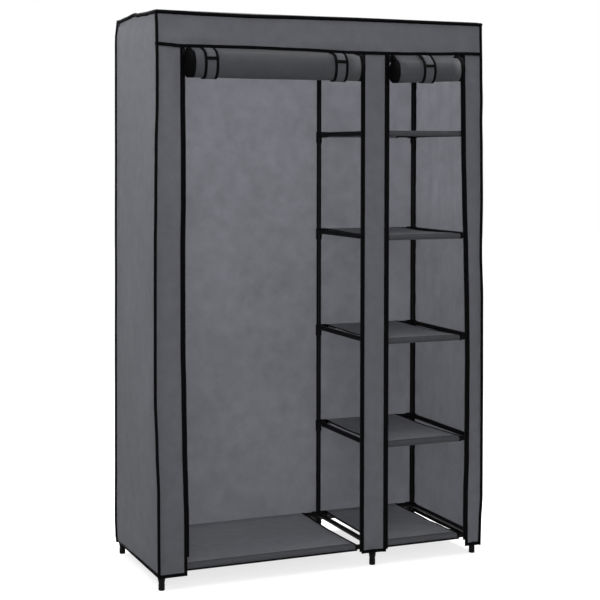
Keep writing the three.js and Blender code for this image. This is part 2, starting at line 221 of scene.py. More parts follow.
def edge_drop(y):
    """How far the piping's middle lies under the top, more at the front than at the back."""
    return mix(BACK_EDGE_DROP, FRONT_EDGE_DROP, forward_share(y))


def edge_fade(u, v, width_u, width_v):
    """Zero on the edges of a unit square and one away from them."""
    return smooth(min(min(u, 1 - u) / width_u, min(v, 1 - v) / width_v, 1))


# Brings the noise function's values to between about -1 and 1
NOISE_GAIN = 1.6


def ripple(a, b, seed, scale_a, scale_b):
    """Smooth noise for cloth that isn't quite flat."""
    return noise.noise(Vector((a * scale_a, b * scale_b, seed))) * NOISE_GAIN


PUCKER_REACH = 38 * MM
PUCKER_START = 6 * MM
PUCKER_LENGTH = 40 * MM
PUCKER_HEIGHT = 4.8 * MM


def pucker(distance, along, seed):
    """Small waves of cloth beside a seam, dying away with the distance from it."""
    wave = noise.noise(Vector((along / PUCKER_LENGTH, seed, 0)))
    fade = math.exp(-(distance / PUCKER_REACH) ** 2) * min(1, distance / PUCKER_START)
    return PUCKER_HEIGHT * wave * fade


# Meshes
SHARP_ANGLE = math.radians(38)


def add_object(name, data):
    obj = bpy.data.objects.new(name, data)
    bpy.context.scene.collection.objects.link(obj)
    return obj


def remove(obj):
    mesh = obj.data
    bpy.data.objects.remove(obj)
    bpy.data.meshes.remove(mesh)


def shaded(obj):
    """Smooth shading that keeps sharp edges sharp."""
    obj.data.shade_smooth()
    obj.data.set_sharp_from_angle(angle=SHARP_ANGLE)
    return obj


def new_object(name, vertices, faces, smooth_shading=True):
    mesh = bpy.data.meshes.new(name)
    mesh.from_pydata([tuple(map(float, vertex)) for vertex in vertices], [], faces)
    working = bmesh.new()
    working.from_mesh(mesh)
    bmesh.ops.recalc_face_normals(working, faces=working.faces)
    working.to_mesh(mesh)
    working.free()
    if smooth_shading:
        mesh.shade_smooth()
    return add_object(name, mesh)


def grid(rows, columns, place):
    """Points place(u, v) on a grid, u down the rows and v along the columns, both from 0 to 1."""
    return np.array([[place(u, v) for v in levels(0, 1, columns)] for u in levels(0, 1, rows)], float)


def cloth(name, points, thickness):
    """A closed thin sheet on both sides of a grid of points."""
    normal = np.cross(np.gradient(points, axis=0), np.gradient(points, axis=1))
    normal /= np.linalg.norm(normal, axis=2, keepdims=True)
    rows, columns = points.shape[:2]
    face_up = (points + normal * thickness / 2).reshape(-1, 3)
    face_down = (points - normal * thickness / 2).reshape(-1, 3)
    count = rows * columns
    faces = []
    for row in range(rows - 1):
        for column in range(columns - 1):
            a = row * columns + column
            b = a + columns
            faces.append((a, b, b + 1, a + 1))
            faces.append((count + a, count + a + 1, count + b + 1, count + b))
    rim = list(range(columns))
    rim += [row * columns + columns - 1 for row in range(1, rows)]
    rim += [(rows - 1) * columns + column for column in range(columns - 2, -1, -1)]
    rim += [row * columns for row in range(rows - 2, 0, -1)]
    for here, there in zip(rim, rim[1:] + rim[:1]):
        faces.append((here, there, count + there, count + here))
    return new_object(name, np.vstack([face_up, face_down]), faces)


def tube_faces(sides, rings, closed=False, first=0):
    """The faces of a tube of rings of vertices, with a flat end at either side unless it is closed."""
    faces = []
    for ring in range(rings if closed else rings - 1):
        here = first + ring * sides
        there = first + (ring + 1) % rings * sides
        for side in range(sides):
            following = (side + 1) % sides
            faces.append((here + side, here + following, there + following, there + side))
    if not closed:
        faces.append(tuple(range(first, first + sides)))
        faces.append(tuple(range(first + (rings - 1) * sides, first + rings * sides)))
    return faces


def circle(radius, sides):
    turns = [2 * math.pi * side / sides for side in range(sides)]
    return [(radius * math.cos(turn), radius * math.sin(turn)) for turn in turns]


def rounded_box(width, height, corner, steps=3):
    """The outline of a rectangle with round corners, about its middle."""
    outline = []
    for quarter, (side, up) in enumerate(((1, 1), (-1, 1), (-1, -1), (1, -1))):
        middle = (side * (width / 2 - corner), up * (height / 2 - corner))
        for turn in levels(math.pi / 2 * quarter, math.pi / 2 * (quarter + 1), steps):
            outline.append((middle[0] + corner * math.cos(turn), middle[1] + corner * math.sin(turn)))
    return outline


def sweep(name, path, section, up, closed=False):
    """A closed section, as (across, up) points, carried along a path."""
    path = np.array(path, float)
    if closed:
        wrapped = np.vstack([path[-1:], path, path[:1]])
        tangent = np.gradient(wrapped, axis=0)[1:-1]
    else:
        tangent = np.gradient(path, axis=0)
    tangent /= np.linalg.norm(tangent, axis=1, keepdims=True)
    across = np.cross(tangent, np.array(up, float))
    across /= np.linalg.norm(across, axis=1, keepdims=True)
    upward = np.cross(across, tangent)
    vertices = []
    for point, side, rise in zip(path, across, upward):
        vertices += [point + a * side + b * rise for a, b in section]
    return new_object(name, vertices, tube_faces(len(section), len(path), closed))


AXES = {"x": (1, 0, 0), "y": (0, 1, 0), "z": (0, 0, 1)}


def turned(name, start, axis, profile, sides=24):
    """A turned solid about an axis through start, from (distance along, radius) points."""
    direction = Vector(AXES[axis])
    side = direction.orthogonal().normalized()
    rise = direction.cross(side)
    vertices = []
    for along, radius in profile:
        middle = Vector(start) + direction * along
        vertices += [middle + side * a + rise * b for a, b in circle(radius, sides)]
    return shaded(new_object(name, vertices, tube_faces(sides, len(profile))))


def prism(name, outline, place, smooth_shading=True):
    """A solid between two like outlines. Place gives the vertex for a point and an end, 0 or 1."""
    vertices = [place(point, end) for end in (0, 1) for point in outline]
    return new_object(name, vertices, tube_faces(len(outline), 2), smooth_shading)


def merged(name, objects):
    """One object from several, each a closed shell of its own."""
    joined = bmesh.new()
    for obj in objects:
        joined.from_mesh(obj.data)
        remove(obj)
    mesh = bpy.data.meshes.new(name)
    joined.to_mesh(mesh)
    joined.free()
    return shaded(add_object(name, mesh))


def fused(name, objects):
    """One solid from several that overlap."""
    body = objects[0]
    for other in objects[1:]:
        union = body.modifiers.new("union", "BOOLEAN")
        union.operation = "UNION"
        union.solver = "EXACT"
        union.object = other
    bpy.context.view_layer.update()
    evaluated = body.evaluated_get(bpy.context.evaluated_depsgraph_get())
    mesh = bpy.data.meshes.new_from_object(evaluated)
    for obj in objects:
        remove(obj)
    mesh.name = name
    return shaded(add_object(name, mesh))


# Materials
def new_material(name):
    material = bpy.data.materials.new(name)
    material.use_nodes = True
    tree = material.node_tree
    return material, tree, tree.nodes["Principled BSDF"]


def set_inputs(tree, node, inputs):
    """Gives a node's sockets, by name or number, a value or another node's output."""
    for socket, value in inputs.items():
        if isinstance(value, bpy.types.NodeSocket):
            tree.links.new(value, node.inputs[socket])
        else:
            node.inputs[socket].default_value = value


def add_node(tree, kind, inputs, operation=None):
    node = tree.nodes.new("ShaderNode" + kind)
    if operation:
        node.operation = operation
    set_inputs(tree, node, inputs)
    return node


def math_node(tree, operation, *values):
    return add_node(tree, "Math", dict(enumerate(values)), operation).outputs[0]


def noise_node(tree, place, scale, detail, roughness):
    inputs = {"Vector": place, "Scale": scale, "Detail": detail, "Roughness": roughness}
    return add_node(tree, "TexNoise", inputs).outputs["Fac"]


def wave_node(tree, place, pitch, directions):
    """Waves along two directions, multiplied."""
    waves = []
    for direction in directions:
        weights = [2 * math.pi / pitch * part for part in direction]
        along = add_node(tree, "VectorMath", {0: place, 1: weights}, "DOT_PRODUCT")
        waves.append(math_node(tree, "SINE", along.outputs["Value"]))
    return math_node(tree, "MULTIPLY", *waves)


def varied(tree, base, *parts):
    """A base value plus each (output, weight) part."""
    for value, weight in parts:
        base = math_node(tree, "MULTIPLY_ADD", value, weight, base)
    return base


def tinted(tree, colour, amount):
    """A colour made lighter and darker by an amount that varies about 1."""
    return add_node(tree, "VectorMath", {0: colour, "Scale": amount}, "SCALE").outputs["Vector"]


def bump_node(tree, height, distance):
    inputs = {"Height": height, "Distance": distance, "Strength": 1}
    return add_node(tree, "Bump", inputs).outputs["Normal"]


def object_coordinates(tree):
    return add_node(tree, "TexCoord", {}).outputs["Object"]


EMBOSS_PITCH = 1.6 * MM
EMBOSS_DIRECTIONS = ((1, 1, 0), (0.6, -0.6, 1))
EMBOSS_DEPTH = 0.12 * MM
# Noise patterns: (scale, detail, roughness)
FIBRES = (900, 2, 0.5)
CLOUDS = (26, 4, 0.6)
SHADE = (2.2, 1, 0.5)
# The cloth's lightness: what it starts from, and how much each pattern adds
CLOTH_BASE = 0.67
CLOUD_WEIGHT = 0.34
FIBRE_WEIGHT = 0.12
SHADE_WEIGHT = 0.2
EMBOSS_WEIGHT = 0.03
EMBOSS_HEIGHT = 0.5
CLOTH_SHADER = {
    "Roughness": 0.92, "Specular IOR Level": 0.12, "Sheen Weight": 0.06, "Sheen Roughness": 0.6,
}
THROUGH_SHARE = 0.3


def cloth_material(name, colour, through=None):
    """Non-woven cloth: a fine embossed grid over mottled fibres.

    Light passes through it in the colour through, where that is given.
    """
    material, tree, shader = new_material(name)
    place = object_coordinates(tree)
    emboss = wave_node(tree, place, EMBOSS_PITCH, EMBOSS_DIRECTIONS)
    fibres = noise_node(tree, place, *FIBRES)
    clouds = noise_node(tree, place, *CLOUDS)
    shade = noise_node(tree, place, *SHADE)
    amount = varied(
        tree, CLOTH_BASE, (clouds, CLOUD_WEIGHT), (fibres, FIBRE_WEIGHT), (shade, SHADE_WEIGHT),
        (emboss, EMBOSS_WEIGHT),
    )
    height = math_node(tree, "MULTIPLY_ADD", emboss, EMBOSS_HEIGHT, fibres)
    set_inputs(tree, shader, CLOTH_SHADER)
    set_inputs(tree, shader, {
        "Base Color": tinted(tree, colour, amount), "Normal": bump_node(tree, height, EMBOSS_DEPTH),
    })
    if through:
        behind = add_node(tree, "BsdfTranslucent", {"Color": tinted(tree, through, amount)})
        blend = add_node(tree, "MixShader", {
            "Fac": THROUGH_SHARE, 1: shader.outputs["BSDF"], 2: behind.outputs["BSDF"],
        })
        set_inputs(tree, tree.nodes["Material Output"], {"Surface": blend.outputs["Shader"]})
    return material


RIB_PITCH = 0.9 * MM
RIB_DIRECTIONS = ((1, 1, 0), (0, 0.3, 1))
RIB_DEPTH = 0.15 * MM
TAPE_BASE = 0.65
WEAR = (140, 3, 0.5)
WEAR_WEIGHT = 0.7
RIB_WEIGHT = 0.2
TAPE_SHADER = {"Roughness": 0.9, "Specular IOR Level": 0.03}


def tape_material(name, colour):
    """Woven tape: fine ribs in both directions."""
    material, tree, shader = new_material(name)
    place = object_coordinates(tree)
    ribs = wave_node(tree, place, RIB_PITCH, RIB_DIRECTIONS)
    worn = noise_node(tree, place, *WEAR)
    amount = varied(tree, TAPE_BASE, (worn, WEAR_WEIGHT), (ribs, RIB_WEIGHT))
    set_inputs(tree, shader, TAPE_SHADER)
    set_inputs(tree, shader, {
        "Base Color": tinted(tree, colour, amount), "Normal": bump_node(tree, ribs, RIB_DEPTH),
    })
    return material


RUBS = (38, 5, 0.7)
GRAIN_DETAIL = (2, 0.5)
HARD_BASE = 0.6
RUB_WEIGHT = 0.8
ROUGHNESS_SPREAD = 0.2
HARD_SPECULAR = 0.07


def hard_material(name, colour, roughness, grain, depth, metallic=0.0):
    """Powder coat, moulded plastic or painted metal: a fine grain and slight rub marks."""
    material, tree, shader = new_material(name)
    place = object_coordinates(tree)
    speckle = noise_node(tree, place, grain, *GRAIN_DETAIL)
    rubbed = noise_node(tree, place, *RUBS)
    set_inputs(tree, shader, {
        "Base Color": tinted(tree, colour, varied(tree, HARD_BASE, (rubbed, RUB_WEIGHT))),
        "Roughness": varied(tree, roughness - ROUGHNESS_SPREAD / 2, (rubbed, ROUGHNESS_SPREAD)),
        "Metallic": metallic,
        "Specular IOR Level": HARD_SPECULAR,
        "Normal": bump_node(tree, speckle, depth),
    })
    return material


COVER_CLOTH = cloth_material("cover_cloth", (0.134, 0.1365, 0.151), (0.62, 0.625, 0.66))
SHELF_CLOTH = cloth_material("shelf_cloth", (0.212, 0.216, 0.238), (0.46, 0.465, 0.49))
# The front sleeves' cloth: the shelf's cloth darkened as painted shade, darker on the shelves than on the
# floor, and letting no light through
SHADED_SLEEVE_CLOTH = cloth_material("shaded_sleeve_cloth", (0.044, 0.045, 0.05))
SHADED_FLOOR_SLEEVE_CLOTH = cloth_material("shaded_floor_sleeve_cloth", (0.056, 0.0572, 0.0635))
DOOR_CLOTH = cloth_material("door_cloth", (0.046, 0.0472, 0.0525))
STRAP_CLOTH = cloth_material("strap_cloth", (0.055, 0.0565, 0.063))
BLACK_TAPE = tape_material("black_tape", (0.0022, 0.0022, 0.0026))
BLACK_STEEL = hard_material(
    "black_powder_coat", (0.003, 0.003, 0.0034), roughness=0.45, grain=1400, depth=0.05 * MM,
)
BLACK_PLASTIC = hard_material(
    "black_moulded_plastic", (0.003, 0.003, 0.0034), roughness=0.55, grain=2200, depth=0.03 * MM,
)
BLACK_METAL = hard_material(
    "black_painted_metal", (0.006, 0.006, 0.0065), roughness=0.35, grain=3000, depth=0.02 * MM,
    metallic=0.3,
)
ZIP_NYLON = hard_material(
    "black_zip_nylon", (0.005, 0.005, 0.0055), roughness=0.4, grain=2600, depth=0.02 * MM,
)


def dress(obj, material, node):
    """Gives a piece its material and slot, and hides the CAD node that it stands for."""
    obj.data.materials.clear()
    obj.data.materials.append(material)
    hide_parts(node)


def finish(obj, material, node, body=STATIC):
    """Dresses a piece and sets it on its body."""
    dress(obj, material, node)
    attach(obj, body)


# Camera, stage and lights
def add_camera():
    data = bpy.data.cameras.new("camera")
    data.sensor_width = SENSOR
    data.lens = FOCAL_PIXELS / PHOTO_SIDE * SENSOR
    data.shift_x = (PHOTO_SIDE / 2 - AXIS_PIXEL[0]) / PHOTO_SIDE
    data.shift_y = (AXIS_PIXEL[1] - PHOTO_SIDE / 2) / PHOTO_SIDE
    turn = Matrix.Rotation(-CAMERA_AZIMUTH, 4, "Z")
    tilt = Matrix.Rotation(math.pi / 2 + CAMERA_ELEVATION, 4, "X")
    roll = Matrix.Rotation(CAMERA_ROLL, 4, "Z")
    camera = add_object("camera", data)
    camera.matrix_world = Matrix.Translation(CAMERA_PLACE) @ turn @ tilt @ roll
    bpy.context.scene.camera = camera


WHITE = (1, 1, 1, 1)
FLOOR_SIZE = 30
FLOOR_COLOUR = (0.36, 0.36, 0.36, 1)
FLOOR_SHADER = {"Base Color": FLOOR_COLOUR, "Roughness": 0.9, "Specular IOR Level": 0.1}
# The floor's own glow, at two distances from the origin
FLOOR_GLOW = {"From Min": 1.2, "From Max": 3.5, "To Min": 0.74, "To Max": 1.0}
WORLD_STRENGTH = 0.335


def seen_directly(tree):
    """One for the camera's own rays, also in a mirror or through glass, and zero for all others."""
    path = add_node(tree, "LightPath", {})
    seen = math_node(tree, "MAXIMUM", path.outputs["Is Camera Ray"], path.outputs["Is Glossy Ray"])
    return math_node(tree, "MAXIMUM", seen, path.outputs["Is Transmission Ray"])


def add_floor():
    half = FLOOR_SIZE / 2
    corners = [(-half, -half, 0), (half, -half, 0), (half, half, 0), (-half, half, 0)]
    floor = new_object("floor", corners, [(0, 1, 2, 3)], smooth_shading=False)
    material, tree, shader = new_material("white_floor")
    set_inputs(tree, shader, FLOOR_SHADER)
    away = add_node(tree, "VectorMath", {0: object_coordinates(tree)}, "LENGTH")
    lift = add_node(tree, "MapRange", {"Value": away.outputs["Value"], **FLOOR_GLOW})
    strength = math_node(tree, "MULTIPLY", seen_directly(tree), lift.outputs["Result"])
    glow = add_node(tree, "Emission", {"Color": WHITE, "Strength": strength})
    total = add_node(tree, "AddShader", {0: shader.outputs["BSDF"], 1: glow.outputs["Emission"]})
    set_inputs(tree, tree.nodes["Material Output"], {"Surface": total.outputs["Shader"]})
    floor.data.materials.append(material)


def add_world():
    world = bpy.data.worlds.new("studio")
    world.use_nodes = True
    tree = world.node_tree
    light = tree.nodes["Background"]
    set_inputs(tree, light, {"Color": WHITE, "Strength": WORLD_STRENGTH})
    white = add_node(tree, "Background", {"Color": WHITE, "Strength": 1})
    pick = add_node(tree, "MixShader", {
        "Fac": seen_directly(tree), 1: light.outputs["Background"], 2: white.outputs["Background"],
    })
    set_inputs(tree, tree.nodes["World Output"], {"Surface": pick.outputs["Shader"]})
    bpy.context.scene.world = world


# Name, place, target, side in metres and power in watts
LIGHTS = (
    ("front_light", (-0.9, -3.7, 1.8), (0, 0, 1.1), 2.5, 70),
    ("top_light", (-0.4, -1.2, 3.0), (0, 0, 1.2), 1.8, 12),
    ("left_light", (-2.1, 0.0, 2.7), (-0.55, 0, 1.3), 1.2, 46),
    ("right_light", (1.7, 0.2, 2.5), (0.55, 0, 1.4), 1.2, 115),
    ("back_light", (0, 1.3, 2.55), (0, 0.25, 1.4), 1.6, 100),
)


def add_lights():
    for name, place, target, side, power in LIGHTS:
        data = bpy.data.lights.new(name, "AREA")
        data.shape = "SQUARE"
        data.size = side
        data.energy = power
        light = add_object(name, data)
        light.location = place
        light.rotation_euler = (Vector(target) - Vector(place)).to_track_quat("-Z", "Y").to_euler()


# Cover panels

# Each panel's belly between its sewn edges: its margins (the shares along u and v over which it
# rises), its depth, its waves' height, their seed and their scales along u and v
BELLIES = {
    "left_side": ((0.25, 0.05), 1.5 * MM, 2.5 * MM, 3.1, (3, 7)),
    "right_side": ((0.25, 0.05), 1.5 * MM, 3 * MM, 8.7, (6, 3)),
    "back": ((0.12, 0.06), 1.8 * MM, 1.8 * MM, 5.3, (5, 5)),
    "valance": ((0.05, 0.3), 1 * MM, 2 * MM, 1.4, (7, 1)),
    "left_post": ((0.4, 0.04), 1.2 * MM, 1.6 * MM, 4.4, (1, 9)),
    "middle_post": ((0.4, 0.04), 1.2 * MM, 1.6 * MM, 6.1, (1, 9)),
    "right_post": ((0.4, 0.04), 1.2 * MM, 1.6 * MM, 9.2, (1, 9)),
}


def belly(panel, u, v):
    margins, depth, height, seed, scales = BELLIES[panel]
    return edge_fade(u, v, *margins) * (depth + height * ripple(u, v, seed, *scales))


def cover_panel(name, node, size, place):
    obj = cloth(name + "_cloth", grid(*size, place), COVER_THICKNESS)
    finish(obj, COVER_CLOTH, node)


SIDE_GRID = (70, 110)
LEFT_WAVE_SEEDS = (1.5, 3.5)
# The waves under the left side's top die away over this stretch before the back corner
CORNER_REACH = 120 * MM


def left_side():
    def place(u, v):
        y = mix(BACK, FRONT, u)
        z = mix(HEM, left_roof_z(y) - edge_drop(y), v)
        corner = min(1, max(0, BACK - y) / CORNER_REACH)
        waves = pucker(y - FRONT, z, LEFT_WAVE_SEEDS[0]) + corner * pucker(TOP - z, y, LEFT_WAVE_SEEDS[1])
        return (left_x(y, z) - belly("left_side", u, v) - waves, y, z)
    cover_panel("left_side", "left_side_panel", SIDE_GRID, place)


RIGHT_WAVE_SEEDS = (4.5, 5.5)
RIGHT_BACK_WAVES = 0.35
FOLD_WIDTH = 34 * MM
FOLD_HEIGHT = 1.1 * MM
FOLD_SEED = 6.4
FOLD_SLANT = 1.5


def right_side():
    margins = BELLIES["right_side"][0]

    def place(u, v):
        y = mix(BACK, FRONT, u)
        z = mix(right_hem(y), TOP - edge_drop(y), v)
        front_waves = pucker(y - FRONT, z, RIGHT_WAVE_SEEDS[0])
        back_waves = RIGHT_BACK_WAVES * pucker(BACK - y, z, RIGHT_WAVE_SEEDS[1])
        folds = FOLD_HEIGHT * ripple(y / FOLD_WIDTH, z, FOLD_SEED, 1, FOLD_SLANT)
        folds *= edge_fade(u, v, *margins)
        return (right_x(y, z) + belly("right_side", u, v) + front_waves + back_waves + folds, y, z)
    cover_panel("right_side", "right_side_panel", SIDE_GRID, place)


BACK_GRID = (60, 90)
BACK_INSET = 1 * MM


def back():
    def place(u, v):
        z = mix(HEM, TOP - BACK_EDGE_DROP, v)
        return (mix(back_left_x(z), back_right_x(z), u), BACK - BACK_INSET + belly("back", u, v), z)
    cover_panel("back", "back_panel", BACK_GRID, place)


ROOF_GRID = (80, 30)
# The roof's front edge lies over the piping's middle, sags, and rises behind within a reach
ROOF_EDGE_RISE = 3.2 * MM
ROOF_SAG_POWER = 3
ROOF_RISE_REACH = 17 * MM
# The share of the width over which the lift of its left edge dies away
ROOF_LIFT_SHARE = 0.06
# How far it hangs between the poles, and how far over them it lies
ROOF_HANG = 5.5 * MM
ROOF_CLEARANCE = 0.5 * MM
ROOF_HANG_WAVES = 0.3
ROOF_SEED = 2.2
ROOF_WAVE_SCALES = (4, 3)


def hang(at, lines):
    """Zero on each line that carries the cloth and one halfway between two of them."""
    for start, end in zip(lines, lines[1:]):
        if start <= at <= end:
            return math.sin(math.pi * (at - start) / (end - start))
    return 0


def roof():
    rod_y = centre("hanging_rod", Y)
    middle_x = centre("column_front_middle", X)

    def place(u, v):
        x = mix(LEFT, RIGHT, u)
        y = mix(BACK, FRONT, v)
        edge = TOP + ROOF_EDGE_RISE - edge_drop(y) + bend(ROOF_SAG, from_left(x)) * v ** ROOF_SAG_POWER
        level = mix(edge, TOP + ROOF_CLEARANCE, smooth(min(1, (y - FRONT) / ROOF_RISE_REACH)))
        lift = (left_roof_z(y) - TOP) * max(0, 1 - u / ROOF_LIFT_SHARE)
        rows = (FRONT, rod_y, BACK) if x < middle_x else (FRONT, BACK)
        depth = ROOF_HANG * (1 + ROOF_HANG_WAVES * ripple(u, v, ROOF_SEED, *ROOF_WAVE_SCALES))
        return (x, y, level + lift - depth * hang(x, (LEFT, middle_x, RIGHT)) * hang(y, rows))
    cover_panel("roof", "roof_panel", ROOF_GRID, place)


VALANCE_GRID = (130, 20)
VALANCE_WAVE_SEEDS = (6.5, 7.5)
VALANCE_WAVES = 0.5


def valance():
    def place(u, v):
        x = mix(LEFT, RIGHT, u)
        z = mix(seam_z(x), front_roof_z(x), v)
        x = mix(front_left_x(z), front_right_x(z), u)
        waves = pucker(TOP - z, x, VALANCE_WAVE_SEEDS[0]) + pucker(z - SEAM, x, VALANCE_WAVE_SEEDS[1])
        return (x, FRONT - belly("valance", u, v) - VALANCE_WAVES * waves, z)
    cover_panel("valance", "front_valance", VALANCE_GRID, place)


TAPE_WIDTH = high("left_door_zip_left", X) - low("left_door_zip_left", X)
RIGHT_ZIP_TOP = low("right_door_zip_right", X)
RIGHT_ZIP_HEM = high("right_door_zip_right", X) - TAPE_WIDTH


def leaning_x(z):
    """The opening edge of the rightmost zip, which leans and bows to the right."""
    share = (HANGING_TOP - z) / (HANGING_TOP - HEM)
    return mix(RIGHT_ZIP_TOP, RIGHT_ZIP_HEM, share) + bend(RIGHT_ZIP_BOW, z)


ZIP_END = 48 * MM
LEFT_ZIP_END = 95 * MM
# Each zip's opening edge, the side of it that the doorway lies on, its lower end and its binding's
# overlap with the post
ZIPS = {
    "left_door_zip_left": (strayed(high("left_door_zip_left", X), LEFT_ZIP_BOW), 1, LEFT_ZIP_END, 2.6 * MM),
    "left_door_zip_right": (lambda z: low("left_door_zip_right", X), -1, ZIP_END, 1.4 * MM),
    "right_door_zip_left": (lambda z: high("right_door_zip_left", X), 1, ZIP_END, 3.6 * MM),
    "right_door_zip_right": (leaning_x, -1, ZIP_END, 4.2 * MM),
}


def beside_zip(name, gap):
    """A function for a line beside a zip's opening edge, a gap away from the doorway."""
    edge, side = ZIPS[name][:2]
    return lambda z: edge(z) - side * gap


def post_edges(gap):
    """Each front post's left and right edges, a gap away from its doorways."""
    left, middle_left, middle_right, right = (beside_zip(name, gap) for name in ZIPS)
    return {
        "left": (front_left_x, left),
        "middle": (middle_left, middle_right),
        "right": (right, front_right_x),
    }


POST_GRID = (16, 130)
POST_EDGE_INSET = 1.9 * MM
POST_MIDDLE_INSET = 0.5 * MM
POST_WAVES = 0.35
POST_SEED_STEP = 3


def front_posts():
    for name, (left_edge, right_edge) in post_edges(TAPE_WIDTH).items():
        front_post(name + "_post", name + "_front_post", left_edge, right_edge)


def front_post(name, node, left_edge, right_edge):
    margins, _, _, seed, _ = BELLIES[name]

    def place(u, v):
        top_x = mix(left_edge(HANGING_TOP), right_edge(HANGING_TOP), u)
        z = mix(front_hem(mix(left_edge(HEM), right_edge(HEM), u)), seam_z(top_x), v)
        x = mix(left_edge(z), right_edge(z), u)
        fade = edge_fade(u, v, *margins)
        waves = pucker(x - left_edge(z), z, seed) + pucker(right_edge(z) - x, z, seed + POST_SEED_STEP)
        y = FRONT + mix(POST_EDGE_INSET, POST_MIDDLE_INSET, fade)
        return (x, y - belly(name, u, v) - POST_WAVES * waves * fade, z)
    width = sum(right_edge(z) - left_edge(z) for z in (HEM, HANGING_TOP)) / 2
    cover_panel(name, node, POST_GRID, place)


# Piping and bindings
PIPING_SIDES = 12
CORNER_UP = (0, 1, 0.01)
# How many steps each stretch of piping or binding is drawn in
CORNER_STEPS = 80
ROOF_STEPS = {"front": 90, "right": 30, "back": 60, "left": 60}
SEAM_STEPS = 90
HEM_STEPS = {"left": 20, "back": 40, "right": 40}
POST_HEM_STEPS = 12


def finish_piping(obj):
    finish(obj, BLACK_TAPE, "cover_piping")


def corner_piping(edge_x, y, bottom, top, radius, inset=0.0):
    points = [(edge_x(z) + inset, y, z) for z in levels(bottom, top, CORNER_STEPS)]
    return sweep("corner", points, circle(radius, PIPING_SIDES), CORNER_UP)


def piping():
    front_top = TOP - FRONT_EDGE_DROP
    back_top = TOP - BACK_EDGE_DROP
    inward, forward = BACK_PIPING_INSET
    pieces = [
        corner_piping(front_left_x, FRONT, HEM, front_top, PIPING_RADIUS),
        corner_piping(back_left_x, BACK - forward, HEM, back_top, BACK_PIPING_RADIUS, inward),
        corner_piping(front_right_x, FRONT, front_hem(RIGHT), front_top, PIPING_RADIUS),
        corner_piping(back_right_x, BACK, HEM, back_top, PIPING_RADIUS),
    ]
    front_left = front_left_x(front_top)
    front_right = front_right_x(front_top)
    back_left = back_left_x(back_top)
    back_right = back_right_x(back_top)
    front_y = FRONT - FRONT_PIPING_REACH
    around = [(x, front_y, front_roof_z(x)) for x in levels(front_left, front_right, ROOF_STEPS["front"])]
    around += [
        (mix(back_right, front_right, forward_share(y)), y, TOP - edge_drop(y))
        for y in levels(FRONT, BACK, ROOF_STEPS["right"])[1:]
    ]
    around += [(x, BACK, back_top) for x in levels(back_right, back_left, ROOF_STEPS["back"])[1:]]
    around += [
        (mix(back_left, front_left, forward_share(y)), y, left_roof_z(y) - edge_drop(y))
        for y in levels(BACK, FRONT, ROOF_STEPS["left"])[1:-1]
    ]
    section = circle(ROOF_PIPING_RADIUS, PIPING_SIDES)
    pieces.append(sweep("around", around, section, (0, 0, 1), closed=True))
    finish_piping(merged("edge_piping", pieces))


# How far the seam's binding stands out in front of the cover and at its ends
SEAM_REACH_OUT = 1 * MM
# The stub at its left end, and the gap between the corner and where the binding goes on
KNOT_LENGTH = 4 * MM
KNOT_REACH_OUT = 4.6 * MM
SEAM_START = 9 * MM


def seam_binding():
    """The tape along the seam under the valance, with a stub that stands out at its left end."""
    y = FRONT - SEAM_REACH_OUT
    knot_x = front_left_x(SEAM) - PIPING_RADIUS - SEAM_REACH_OUT
    points = [(knot_x, y, seam_z(LEFT)), (knot_x + KNOT_LENGTH, FRONT - KNOT_REACH_OUT, seam_z(LEFT))]
    start = front_left_x(SEAM) + SEAM_START
    end = front_right_x(SEAM) + SEAM_REACH_OUT
    points += [(x, y, seam_z(x)) for x in levels(start, end, SEAM_STEPS)]
    section = rounded_box(SEAM_BINDING_DEPTH, SEAM_BINDING_HEIGHT, SEAM_BINDING_CORNER)
    finish_piping(sweep("seam_binding", points, section, (0, 0, 1)))


def hem_binding():
    half = HEM_BINDING_HEIGHT / 2
    across = levels(back_left_x(HEM), back_right_x(HEM), HEM_STEPS["back"])
    forward = levels(BACK, FRONT, HEM_STEPS["right"])
    points = [(left_x(y, HEM), y, HEM + half) for y in levels(FRONT, BACK, HEM_STEPS["left"])]
    points += [(x, BACK, HEM + half) for x in across[1:]]
    points += [(right_x(y, HEM), y, right_hem(y) + half) for y in forward[1:]]
    section = rounded_box(BINDING_DEPTH, HEM_BINDING_HEIGHT, BINDING_CORNER)
    finish_piping(sweep("hem_binding", points, section, (0, 0, 1)))


# A painted shadow inside the right side's hem: a thin black strip where the hem's inside lies in shade
HEM_SHADE_HEIGHT = 27 * MM
HEM_SHADE_START = 1 * MM
HEM_SHADE_INSET = 1.2 * MM
HEM_SHADE_END_GAP = 3 * MM
HEM_SHADE_THICKNESS = 0.8 * MM


def hem_painted_shade():
    """A black strip inside the right side's hem, a painted shadow where the hem's inside lies in shade."""
    def place(u, v):
        y = mix(BACK - HEM_SHADE_END_GAP, FRONT + HEM_SHADE_END_GAP, u)
        z = right_hem(y) + mix(HEM_SHADE_START, HEM_SHADE_HEIGHT, v)
        return (right_x(y, z) - HEM_SHADE_INSET, y, z)
    finish_piping(cloth("right_hem_painted_shade", grid(40, 3, place), HEM_SHADE_THICKNESS))


POST_HEM_GAP = 7 * MM


def post_hems():
    section = rounded_box(BINDING_DEPTH, POST_HEM_HEIGHT, BINDING_CORNER)
    half = POST_HEM_HEIGHT / 2
    for name, (left_edge, right_edge) in post_edges(POST_HEM_GAP).items():
        across = levels(left_edge(HEM + half), right_edge(HEM + half), POST_HEM_STEPS)
        points = [(x, FRONT, front_hem(x) + half) for x in across]
        finish_piping(sweep(name + "_post_hem", points, section, (0, 0, 1)))


# Zips
TOOTH_PITCH = 3.0 * MM
# How far a tooth reaches over the tape and past its edge, and the tooth's depth and height
TOOTH_GRIP = 1.9 * MM
TOOTH_REACH = 0.6 * MM
TOOTH_DEPTH = 2 * MM
TOOTH_HEIGHT = 1.7 * MM
TAPE_INSET = 1.2 * MM
BINDING_INSET = 0.5 * MM
BINDING_WIDTH = 7 * MM
BINDING_LAP = 2 * MM


